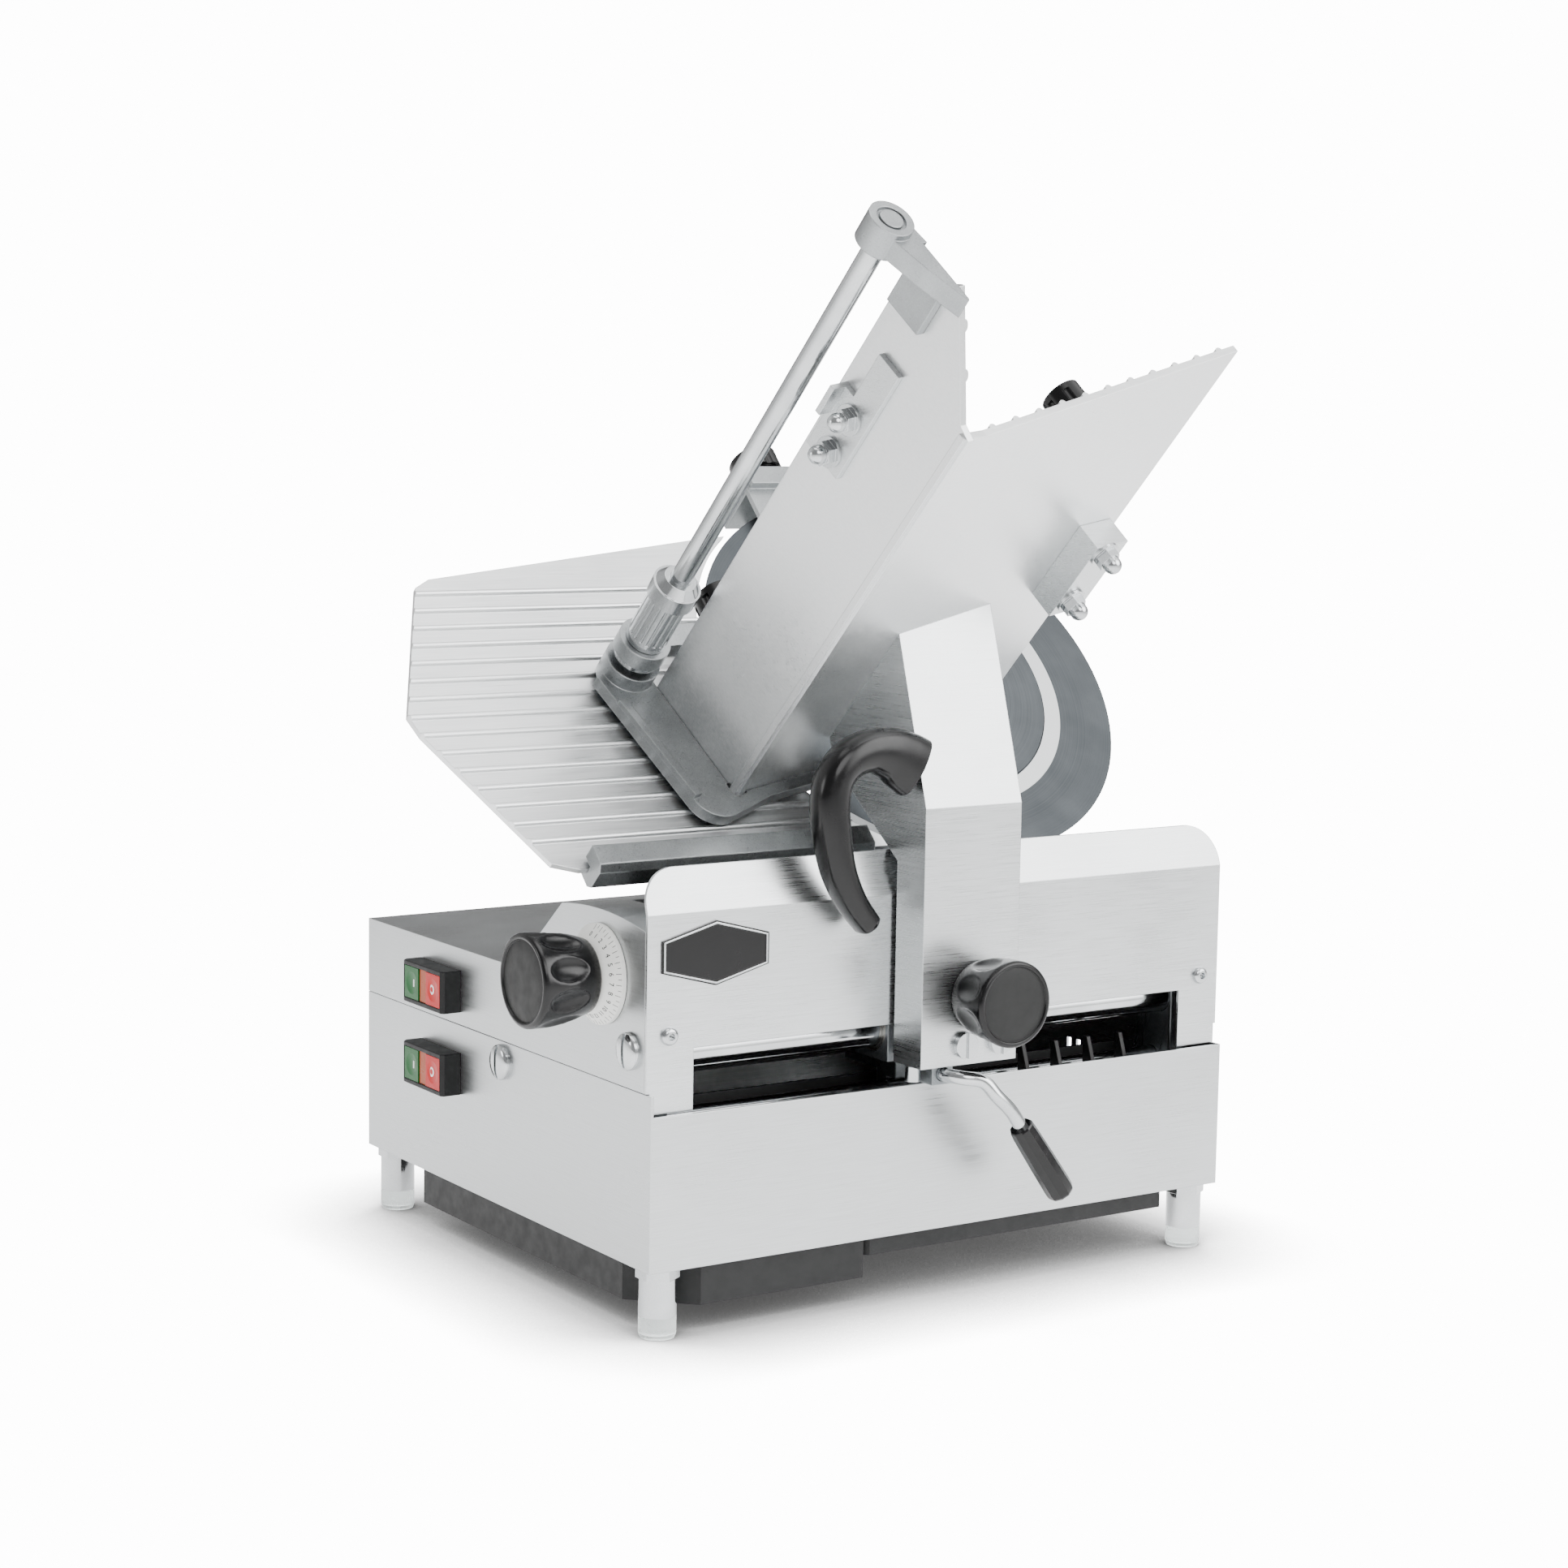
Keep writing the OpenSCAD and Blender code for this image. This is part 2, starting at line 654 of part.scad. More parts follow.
module tray() {
    color(bright) feed() union() {
        translate([valley_y, valley_s, tray_c]) rotate([0, 0, 90 + wall_lean]) intersection() {
            rotate([90, 0, 0]) linear_extrude(tray_t + 3) tray_wall_outline();
            linear_extrude(tray_l + 80) union() {
                translate([-2, -tray_t]) square([wall_h + 2, tray_t]);
                for (i = [1:4]) translate([i * 18 + 8, -tray_t]) circle(r = 2.2, $fn = 24);
            }
        }
        translate([valley_y, valley_s, tray_c]) rotate([0, 0, floor_rise]) intersection() {
            translate([0, tray_t + 3, 0]) rotate([90, 0, 0]) linear_extrude(tray_t + 3)
                tray_floor_outline();
            linear_extrude(tray_l + 80) union() {
                translate([-2, 0]) square([floor_w + 2, tray_t]);
                for (i = [1:11]) translate([i * 18 + 8, tray_t]) circle(r = 2.2, $fn = 24);
            }
        }
    }
}

module tray_flange() {
    h = 9;
    arc = [for (a = [0:10:90 + floor_rise - wall_lean + 8])
        wall_at(6, 12) + 21 * [-cos(wall_lean + a), -sin(wall_lean + a)]];
    color(steel) feed() translate([0, 0, tray_c]) difference() {
        union() {
            linear_extrude(h) polygon(concat([wall_at(wall_h + 10, 0.2), wall_at(wall_h + 22, 14),
                wall_at(wall_h + 20, 38)],
                arc, [floor_at(24, 9), floor_at(floor_w - 10, 9), floor_at(floor_w - 6, 0.2),
                    floor_at(0, 0.2), wall_at(0, 0.2)]));
            translate([rod_y, rod_s, 0]) cylinder(r = 19, h = 20);
            translate([0, 0, h]) linear_extrude(4) polygon([wall_at(wall_h - 4, 32), wall_at(6, 27),
                wall_at(6, 33), wall_at(wall_h - 4, 38)]);
        }
        translate([rod_y, rod_s, 6]) cylinder(r = rod_d / 2, h = 20);
        tray_plates_space();
    }
}

// space taken by the two plates of the tray, so that fittings stop at their outer faces
module tray_plates_space() {
    translate([valley_y, valley_s, -20]) rotate([0, 0, 90 + wall_lean]) translate([-2, -tray_t - 4, 0])
        cube([wall_h + 2, tray_t + 4.1, 600]);
    translate([valley_y, valley_s, -20]) rotate([0, 0, floor_rise]) translate([-2, -0.1, 0])
        cube([floor_w + 2, tray_t + 4, 600]);
}

module pusher_rod() {
    color(bright) feed() translate([rod_y, rod_s, tray_c + 6])
        cylinder(r = rod_d / 2, h = rod_end - tray_c - 6);
}

module rod_ear() {
    color(steel) feed() difference() {
        union() {
            translate([0, 0, rod_end - 14]) linear_extrude(14)
                polygon([[rod_y - 14, rod_s + 4], [rod_y + 12, rod_s + 9],
                wall_at(wall_h * 0.62, -7), wall_at(wall_h * 0.5, 1), wall_at(wall_h * 0.8, 12)]);
            translate([rod_y, rod_s, rod_end - 16]) cylinder(r = 14.5, h = 20);
            translate([0, 0, rod_end - 42]) linear_extrude(30)
                polygon([wall_at(wall_h - 2, 0.2), wall_at(wall_h - 2, 6),
                wall_at(wall_h * 0.66, 6), wall_at(wall_h * 0.66, 0.2)]);
        }
        translate([rod_y, rod_s, rod_end - 60]) cylinder(r = rod_d / 2, h = 60);
        translate([rod_y, rod_s, rod_end + 1.5]) ring(9.5, 7.5, 4);
        translate([0, 0, -40]) tray_plates_space();
    }
}

module pusher_sleeve() {
    color(bright) feed() translate([rod_y, rod_s, sleeve_c]) difference() {
        union() {
            cylinder(r = 15.5, h = 5);
            translate([0, 0, 5 + pusher_ring + 2 * gap]) cylinder(r = 14, h = sleeve_l - 22 - pusher_ring);
            translate([0, 0, 4]) cylinder(r = 11, h = 20);
            translate([0, 0, sleeve_l - 18]) cylinder(r = 16.5, h = 12);
            translate([0, 0, sleeve_l - 8]) cylinder(r1 = 16.5, r2 = 11, h = 8);
        }
        translate([0, 0, -1]) cylinder(r = rod_d / 2 + run, h = sleeve_l + 2);
        for (i = [0:17]) rotate([0, 0, i * 20]) translate([14.4, 0, 24])
            cylinder(r = 1.1, h = 34, $fn = 16);
    }
}

module pusher() {
    // ring on the sleeve, arm over the side wall, toothed plate in the trough
    color(steel) feed() translate([0, 0, sleeve_c + 5 + gap]) difference() {
        union() {
            translate([rod_y, rod_s, 0]) cylinder(r = 18, h = pusher_ring);
            linear_extrude(pusher_ring) polygon([[rod_y, rod_s - 8], [rod_y + 24, rod_s - 6],
                [pusher_y0 + 14, rod_s - 10],
                [pusher_y0 + 60, rod_s - 34], [pusher_y0 + 70, rod_s - 20], [pusher_y0 + 20, rod_s + 12],
                    [rod_y, rod_s + 12]]);
            linear_extrude(4) polygon([[pusher_y0, rod_s - 8], [pusher_y0 + 22, valley_s + 26],
                [pusher_y0 + 34, valley_s + 21],
                [pusher_y0 + 166, valley_s + 49], [pusher_y0 + 166, valley_s + 74],
                    [pusher_y0 + 84, rod_s - 18]]);
            for (i = [0:5], j = [0:1]) translate([pusher_y0 + 46 + i * 20,
                valley_s + 37 + i * 4 + j * 18, -5])
                cylinder(r1 = 0.8, r2 = 3, h = 6);
        }
        translate([rod_y, rod_s, -1]) cylinder(r = 11 + run, h = pusher_ring + 2);
        translate([pusher_y0 + 44, rod_s - 14, pusher_ring / 2]) rotate([-90, 0, 0])
            cylinder(r = 4, h = 30);
    }
}

module pusher_knob() {
    color(black) feed() translate([pusher_y0 + 44, rod_s - 14, sleeve_c + 5 + gap + pusher_ring / 2])
        rotate([-90, 0, 0]) {
        cylinder(r = 4, h = 36);
        translate([0, 0, 32]) lobed_knob(34, 22, 7);
    }
}

module tray_brackets() {
    color(steel) feed() {
        // folded bracket on the side wall
        translate([valley_y, valley_s, tray_c + tray_l - 96]) rotate([0, 0, 90 + wall_lean]) {
            translate([wall_h - 36, 0.1, 0]) cube([32, 4, 52]);
            translate([wall_h - 36, 0.1, 52]) cube([20, 4, 36]);
            translate([wall_h - 8, 0.1, 30]) cube([4, 14, 22]);
        }
        translate([valley_y, valley_s, 0]) rotate([0, 0, floor_rise]) {
            // block under the floor plate that takes the fence's bolts
            translate([bracket_w, -bracket_d - 0.1, bracket_c]) cube([29, bracket_d, bracket_l]);
            // fence inside the free edge, lower where its knob stands
            translate([fence_w, tray_t + 3.2, fence_c]) cube([4, fence_h, fence_l]);
            translate([fence_w, tray_t + 3.2, fence_c + fence_l - 1])
                cube([4, fence_knob_h - tray_t - 3.4, 32]);
            translate([fence_w - 6, fence_knob_h - 4.2, fence_c + fence_l]) cube([16, 4, 30]);
        }
    }
}

module fence_knob() {
    color(black) feed() translate([valley_y, valley_s, 0]) rotate([0, 0, floor_rise])
        translate([fence_w + 2, fence_knob_h + gap, fence_knob_c]) rotate([-90, 0, 0])
            lobed_knob(27, 19, 6);
}

module tray_nuts() {
    color(bright) feed() {
        translate([valley_y, valley_s, tray_c + tray_l - 96]) rotate([0, 0, 90 + wall_lean])
            for (c = [10, 38]) translate([wall_h - 22, 4.2, c]) rotate([-90, 0, 0]) cap_nut();
        translate([valley_y, valley_s, bracket_c]) rotate([0, 0, floor_rise])
            for (c = [14, 60]) translate([bracket_w + 10, -bracket_d - 0.2, c]) rotate([90, 0, 0])
                cap_nut();
    }
}

module cap_nut() {
    cylinder(r = 10, h = 2);
    translate([0, 0, 2]) cylinder(r = 8, h = 6, $fn = 6);
    translate([0, 0, 8]) cylinder(r = 6, h = 2.5);
    translate([0, 0, 10.5]) sphere(r = 6);
}

// ---------- knife ----------
module at_knife(c) {
    feed() translate([blade_y, blade_s, c]) children();
}

module stadium(r) {
    circle(r = r, $fn = 96);
    translate([-r, motor_s - blade_s]) square([2 * r, blade_s - motor_s]);
    translate([0, motor_s - blade_s]) circle(r = r, $fn = 96);
}

module knife_head() {
    color(steel) difference() {
        union() {
            at_knife(head_c - head_t - 26) linear_extrude(head_t + 26) stadium(50);
            difference() {
                translate([0, blade_y + 62, 0]) rotate([90, 0, 0]) linear_extrude(124) hood_outline(0);
                translate([0, blade_y + 58, 0]) rotate([90, 0, 0]) linear_extrude(116) hood_outline(4);
            }
            // post behind the knife for the sharpener
            at_knife(head_c - 20) translate([-50, 30, 0]) cube([26, blade_r - 26, 16]);
        }
        at_knife(head_c - head_t - 23) linear_extrude(head_t - 3) stadium(46);
        at_knife(head_c - head_t) cylinder(r = 26, h = head_t + 1);
        at_knife(head_c - head_t - 30) cylinder(r = tie_r, h = 10);
        at_knife(head_c - head_t - 30) translate([0, motor_s - blade_s, 0]) cylinder(r = 10, h = 10);
        // room for the motor inside the hood
        at_knife(head_c - head_t - 26.4 - 130) translate([0, motor_s - blade_s, 0])
            cylinder(r = 47, h = 130);
    }
}

module hood_outline(inset) {
    x0 = hood_x0;
    top = bend_z - 6 - inset;
    polygon([[x0 + inset, deck_z + gap - (inset > 0 ? 1 : 0)], [x0 + inset, deck_z + 12], [x0 + 60, top],
        [x0 + 116, top],
        [guard_x - 40 - inset, deck_z + 18], [guard_x - 40 - inset, deck_z + gap - (inset > 0 ? 1 : 0)]]);
}

module knife_bearings() {
    color(bright) for (c = [head_c - 11, head_c - 24]) at_knife(c) ring(26, shaft_r + run, 9);
}

module blade() {
    color(bright) at_knife(0) difference() {
        union() {
            translate([0, 0, -blade_t]) cylinder(r = blade_r - 16, h = blade_t);
            translate([0, 0, -blade_t]) cylinder(r1 = blade_r - 16, r2 = blade_r, h = blade_t);
        }
        translate([0, 0, -blade_t - 1]) cylinder(r = 26, h = blade_t + 2);
        for (i = [0:5]) rotate([0, 0, i * 60]) translate([35, 0, -blade_t - 1])
            cylinder(r = 5.1, h = blade_t + 2);
        translate([0, 0, -2.6]) cylinder(r = cover_r + gap, h = 4);
        translate([0, 0, -1.2]) cylinder(r1 = cover_r + 12, r2 = blade_r - 8, h = 1.6);
    }
}

module blade_shaft() {
    color(steel) at_knife(0) difference() {
        union() {
            translate([0, 0, head_c + 2]) cylinder(r = 44, h = -blade_t - head_c - 2);
            translate([0, 0, -blade_t]) cylinder(r = 25.8, h = 3);
            translate([0, 0, pulley_c - 6]) cylinder(r = shaft_r, h = -pulley_c);
            translate([0, 0, pulley_c - 5]) cylinder(r = blade_pulley_r, h = pulley_w);
            for (i = [0:5]) rotate([0, 0, i * 60]) translate([35, 0, -blade_t - 1])
                cylinder(r = 5, h = 5.2);
        }
        translate([0, 0, pulley_c - 20]) cylinder(r = tie_r + gap, h = 100);
    }
}

module blade_cover() {
    color(steel) at_knife(0) union() {
        difference() {
            translate([0, 0, -2.2]) cylinder(r = cover_r - 0.4, h = 1.6);
            for (i = [-3:3]) translate([-cover_r + 22, i * dimple_step, -1.4]) cylinder(r = 6, h = 3);
        }
        for (i = [-3:3]) translate([-cover_r + 22, i * dimple_step, -1.5]) cylinder(r1 = 6, r2 = 4, h = 1.6);
        translate([0, 0, head_c - head_t - 36]) cylinder(r = tie_r, h = head_t + 36 - head_c - 2);
    }
}

module cover_knob() {
    color(black) at_knife(head_c - head_t - 26 - gap) rotate([180, 0, 0]) difference() {
        lobed_knob(38, 24, 7);
        translate([0, 0, -1]) cylinder(r = tie_r + run, h = 14);
    }
}

module belt_loop(extra) {
    hull() {
        circle(r = blade_pulley_r + 0.35 + extra, $fn = 64);
        translate([0, motor_s - blade_s]) circle(r = motor_pulley_r + 0.35 + extra, $fn = 64);
    }
}

module knife_belt() {
    color(black) at_knife(pulley_c - 4) linear_extrude(pulley_w - 2) difference() {
        belt_loop(3);
        belt_loop(0);
    }
}

module motor_pulley() {
    color(steel) at_knife(0) translate([0, motor_s - blade_s, 0]) {
        translate([0, 0, pulley_c - 5]) cylinder(r = motor_pulley_r, h = pulley_w);
        translate([0, 0, pulley_c - 46]) cylinder(r = 8, h = 44);
    }
}

module knife_motor() {
    c0 = head_c - head_t - 26.4;
    color(steel) at_knife(0) translate([0, motor_s - blade_s, 0]) difference() {
        union() {
            translate([0, 0, c0 - 104]) cylinder(r = 42, h = 104);
            translate([0, 0, c0 - 8]) cylinder(r = 45, h = 8);
            translate([0, 0, c0 - 116]) cylinder(r = 36, h = 12);
            for (i = [0:15]) rotate([0, 0, i * 22.5]) translate([40, -1.2, c0 - 100]) cube([5, 2.4, 88]);
        }
        translate([0, 0, c0 - 24]) cylinder(r = 8 + run, h = 25);
    }
}

// ---------- carriage drive ----------
module gearmotor() {
    y = -belt_end;
    color(steel) difference() {
        union() {
            translate([belt_x - 76, y - 30, foot_h + 12]) cube([52, 60, belt_z + 22 - foot_h - 12]);
            translate([belt_x - 76, y, foot_h + 44]) rotate([0, -90, 0]) cylinder(r = 34, h = 96);
            translate([belt_x - 24.1, y, belt_z]) rotate([0, 90, 0]) cylinder(r = 16, h = 8);
        }
        translate([belt_x - 50, y, belt_z]) rotate([0, 90, 0]) cylinder(r = 7 + run, h = 60);
    }
}

module belt_pulley(y, shaft) {
    translate([belt_x, y, belt_z]) rotate([0, 90, 0]) {
        translate([0, 0, -belt_w / 2 - 1]) cylinder(r = belt_r, h = belt_w + 2);
        translate([0, 0, -belt_w / 2 - 4]) cylinder(r = belt_r + 3.4, h = 3);
        translate([0, 0, -shaft]) cylinder(r = 7, h = shaft);
    }
}

module drive_pulley() {
    color(bright) belt_pulley(-belt_end, 40);
}

module idler_pulley() {
    color(bright) belt_pulley(belt_end, 24);
}

module carriage_belt() {
    r = belt_r + 0.35;
    color(black) union() {
        for (z = [-1, 1]) translate([belt_x - belt_w / 2, -belt_end,
            belt_z + z * (r + belt_t / 2) - belt_t / 2])
            cube([belt_w, 2 * belt_end, belt_t]);
        for (y = [-1, 1]) translate([belt_x - belt_w / 2, y * belt_end, belt_z]) rotate([0, 90, 0])
            difference() {
            ring(r + belt_t, r, belt_w);
            translate([-50, y > 0 ? -100 : 0, -1]) cube([100, 100, belt_w + 2]);
        }
    }
}

// ---------- gauge ----------
module gauge_outline() {
    r = 12;
    difference() {
        polygon([[-half_l - 38 + r, gauge_low + gauge_h - 45], [-half_l - 38, gauge_low + gauge_h - 52],
            [-half_l - 80, gauge_low + 128],
            [-half_l - 76, gauge_low + 112], [-half_l - 22, gauge_low + 6], [-half_l - 4, gauge_low],
            [blade_y, gauge_low], [blade_y, gauge_low + gauge_h],
            [blade_y - 125, gauge_low + gauge_h - 13]]);
        translate([blade_y, blade_s]) circle(r = blade_r + 4, $fn = 128);
        translate([blade_y - 20, blade_s - 500]) square([200, 1000]);
    }
}

module gauge_plate() {
    color(bright) feed() intersection() {
        translate([0, 0, -gauge_t - 3]) linear_extrude(gauge_t + 3) gauge_outline();
        translate([-half_l - 100, 0, 0]) rotate([90, 0, 90]) linear_extrude(base_l + 200) union() {
            translate([gauge_low - 10, -gauge_t - 2.4]) square([400, gauge_t]);
            for (i = [0:14]) translate([gauge_low + 24 + i * 14.6, -2.4]) circle(r = 2.2, $fn = 24);
        }
    }
}

module gauge_carrier() {
    // grooved bar along the plate's lower edge, two guide pins and the cam follower's leg
    low = gauge_low - 6.6;
    top = gauge_low + 8;
    back = -gauge_t - 2.6;
    color(steel) feed() union() {
        translate([-half_l + 2, 0, 0]) rotate([90, 0, 90]) linear_extrude(half_l - 20)
            polygon([[low, -12], [top, -12], [top, back], [gauge_low - 0.2, back],
                [gauge_low - 0.2, 0.2], [top, 0.2],
                [top, 12], [low, 12], [low - 4, 7], [low - 4, -8]]);
        translate([cam_y + 6, cam_s - 5, follower_c - 5]) cube([6, low - cam_s + 3, 10]);
        translate([cam_y - 2, cam_s, follower_c]) rotate([0, 90, 0]) cylinder(r = follower_r, h = 9);
        for (y = guide_pin_y) {
            translate([y - 12, guide_pin_s - 9, -18]) cube([24, low - guide_pin_s + 8, 11]);
            translate([y, guide_pin_s, -58]) cylinder(r = guide_pin_r, h = 41);
        }
    }
}

module gauge_guide() {
    // fixed casting on the deck: two leaning blocks with the bores, on one foot
    foot = 6;
    half = 14;
    y0 = guide_pin_y[0] - half;
    y1 = guide_pin_y[1] + half;
    z0 = deck_z + gap;
    z1 = deck_z + foot;
    color(steel) difference() {
        translate([0, y1, 0]) rotate([90, 0, 0]) linear_extrude(y1 - y0)
            polygon([[guard_x - 150, z0], [guard_x - 40, z0], [guard_x - 40, z1], [guard_x - 58.4, z1],
                [guard_x - 99.4, bend_z - 11.8],
                [guard_x - 121, bend_z - 32.6], [guard_x - 101, z1], [guard_x - 150, z1]]);
        translate([guard_x - 160, y0 + 2 * half, z1]) cube([140, y1 - y0 - 4 * half, 80]);
        feed() for (y = guide_pin_y) translate([y, guide_pin_s, -70])
            cylinder(r = guide_pin_r + run, h = 100);
    }
}

module cam_shaft() {
    // shaft of the thickness knob with a spiral cam
    color(steel) union() {
        translate([hub_x, -half_l - 30, hub_z]) rotate([-90, 0, 0])
            cylinder(r = 6, h = cam_y + half_l + 40);
        translate([hub_x, cam_y - 1.5, hub_z]) rotate([-90, 0, 0]) linear_extrude(7) rotate(feed_tilt * -1)
            polygon([for (a = [0:5:cam_turn + 15]) cam_radius(a) * [cos(a), sin(a)]]);
    }
}
function cam_radius(a) = cam_big - slice_max * a / cam_turn;

module dial() {
    color([0.93, 0.93, 0.91]) translate([hub_x, -half_l - 0.3, hub_z]) rotate([90, 0, 0]) difference() {
        union() {
            cylinder(r = dial_d / 2, h = 3);
            translate([0, 0, 3]) cylinder(r1 = dial_d / 2, r2 = 21, h = 8);
            cylinder(r = 20.5, h = 12);
        }
        translate([0, 0, -1]) cylinder(r = 6, h = 20);
    }
}

module thickness_knob() {
    color(black) translate([hub_x, -half_l - 12.4, hub_z]) rotate([90, 0, 0]) difference() {
        lobed_knob(knob_d, knob_l, 9);
        translate([0, 0, -1]) cylinder(r = 6, h = 19);
    }
}

// ---------- top and back ----------
module sharpener() {
    color(steel) at_knife(0) translate([0, blade_r, 0]) {
        translate([-70, 4, head_c - 20]) cube([62, 16, 50]);
        translate([-72, -26, 6]) cube([66, 46, 4]);
        translate([-72, 8, -2]) cube([66, 12, 10]);
        translate([-50, -6, head_c - 4]) cube([26, 12, 4]);
        translate([-39, 20, -10]) rotate([-90, 0, 0]) cylinder(r = 7, h = 8);
    }
}

module sharpener_knob() {
    color(black) at_knife(0) translate([-39, blade_r + 28 + gap, -10]) rotate([-90, 0, 0])
        lobed_knob(36, 20, 8);
}

module slice_deflector() {
    // curved sheet behind the knife that drops each slice onto the deck
    color(bright) at_knife(-blade_t - 14) {
        translate([0, 64, 0]) rotate([90, 0, 0]) linear_extrude(130)
            polygon([[-50.1, 0], [-50.1, 2], [-112.7, 2], [-136, -18], [-134.6, -19.4], [-112, 0]]);
    }
}

// The finished frame starts under the near foot
module set_down() {
    translate([-foot_x, foot_y, 0]) children();
}

set_down() base_wrap();
set_down() upper_housing();
set_down() slot_guard();
set_down() bottom_plate();
set_down() front_undertray();
set_down() side_undertray();
set_down() feet_posts();
set_down() feet_pads();
set_down() switch_housings();
set_down() switch_lamps();
set_down() button(1, -1, [0.10, 0.55, 0.25]);  // start_button_upper
set_down() button(1, 1, [0.85, 0.12, 0.10]);  // stop_button_upper
set_down() button(0, -1, [0.10, 0.55, 0.25]);  // start_button_lower
set_down() button(0, 1, [0.85, 0.12, 0.10]);  // stop_button_lower
set_down() casing_screws();
set_down() cable_gland();
set_down() guide_rods();
set_down() rod_supports();
set_down() slot_liner();
set_down() knife_head();
set_down() knife_bearings();
set_down() blade();
set_down() blade_shaft();
set_down() blade_cover();
set_down() cover_knob();
set_down() knife_belt();
set_down() motor_pulley();
set_down() knife_motor();
set_down() gearmotor();
set_down() drive_pulley();
set_down() idler_pulley();
set_down() carriage_belt();
set_down() gauge_plate();
set_down() gauge_carrier();
set_down() gauge_guide();
set_down() cam_shaft();
set_down() dial();
set_down() thickness_knob();
set_down() slide_block();
set_down() slide_bushes();
set_down() arm();
set_down() arm_foot();
set_down() arm_screws();
set_down() handle();
set_down() clamp_knob();
set_down() lever();
set_down() lever_grip();
set_down() tray();
set_down() tray_flange();
set_down() pusher_rod();
set_down() rod_ear();
set_down() pusher_sleeve();
set_down() pusher();
set_down() pusher_knob();
set_down() tray_brackets();
set_down() tray_nuts();
set_down() fence_knob();
set_down() sharpener();
set_down() sharpener_knob();
set_down() slice_deflector();
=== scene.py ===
"""Deli slicer with a powered carriage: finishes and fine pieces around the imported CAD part."""

import json
import math

import bmesh
import bpy
from mathutils import Matrix, Vector


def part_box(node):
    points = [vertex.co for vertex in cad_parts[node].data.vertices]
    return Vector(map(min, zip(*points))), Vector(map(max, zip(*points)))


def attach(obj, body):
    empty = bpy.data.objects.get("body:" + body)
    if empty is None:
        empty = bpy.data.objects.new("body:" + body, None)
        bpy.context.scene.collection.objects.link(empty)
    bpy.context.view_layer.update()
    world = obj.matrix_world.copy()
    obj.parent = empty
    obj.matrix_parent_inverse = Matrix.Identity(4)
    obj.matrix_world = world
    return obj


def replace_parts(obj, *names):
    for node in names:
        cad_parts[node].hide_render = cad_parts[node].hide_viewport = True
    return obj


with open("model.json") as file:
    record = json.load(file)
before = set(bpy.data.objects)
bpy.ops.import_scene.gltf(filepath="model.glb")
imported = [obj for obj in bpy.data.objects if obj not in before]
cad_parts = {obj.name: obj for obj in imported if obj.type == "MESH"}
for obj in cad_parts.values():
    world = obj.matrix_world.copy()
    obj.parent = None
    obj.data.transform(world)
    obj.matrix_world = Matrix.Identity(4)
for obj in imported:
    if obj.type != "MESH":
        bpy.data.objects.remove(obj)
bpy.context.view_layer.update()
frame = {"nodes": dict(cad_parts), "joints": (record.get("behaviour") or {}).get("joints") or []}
nodes = frame["nodes"]
joints = {joint["name"]: joint for joint in frame["joints"]}
MM = 0.001
X_AXIS, Y_AXIS, Z_AXIS = Vector((1, 0, 0)), Vector((0, 1, 0)), Vector((0, 0, 1))
wrap_low, wrap_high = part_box("base_wrap")
# middle of the base on the table; the camera and lights stand around it
MIDDLE = Vector(((wrap_low.x + wrap_high.x) / 2, (wrap_low.y + wrap_high.y) / 2, 0))


# ---------- camera, floor and light ----------
def make_camera():
    """Long lens at table height, a little above the machine, off its control corner."""
    yaw, pitch, roll = math.radians(56.555), math.radians(7.034), math.radians(0.908)
    stand = Vector((1.7980, -1.1935, 0.5821))
    forward = Vector((-math.sin(yaw) * math.cos(pitch), math.cos(yaw) * math.cos(pitch), -math.sin(pitch)))
    right = Vector((math.cos(yaw), math.sin(yaw), 0))
    up = right.cross(forward)
    right, up = (math.cos(roll) * right + math.sin(roll) * up,
                 math.cos(roll) * up - math.sin(roll) * right)
    data = bpy.data.cameras.new("camera")
    data.sensor_width = 36
    data.lens = 71.4
    camera = bpy.data.objects.new("camera", data)
    bpy.context.scene.collection.objects.link(camera)
    turn = Matrix((right, up, -forward)).transposed().to_4x4()
    camera.matrix_world = Matrix.Translation(MIDDLE + stand) @ turn
    bpy.context.scene.camera = camera


make_camera()


def linear(code):
    """sRGB hex to the linear RGBA that shader sockets take."""
    parts = [int(code[i:i + 2], 16) / 255 for i in (1, 3, 5)]
    return tuple(p / 12.92 if p <= 0.04045 else ((p + 0.055) / 1.055) ** 2.4 for p in parts) + (1.0,)


def add(tree, kind, inputs=None, **settings):
    """Adds a node. Settings are its own properties; inputs are plain values or sockets to link from."""
    made = tree.nodes.new("ShaderNode" + kind)
    for key, value in settings.items():
        setattr(made, key, value)
    for key, value in (inputs or {}).items():
        if isinstance(value, bpy.types.NodeSocket):
            tree.links.new(value, made.inputs[key])
        else:
            made.inputs[key].default_value = value
    return made


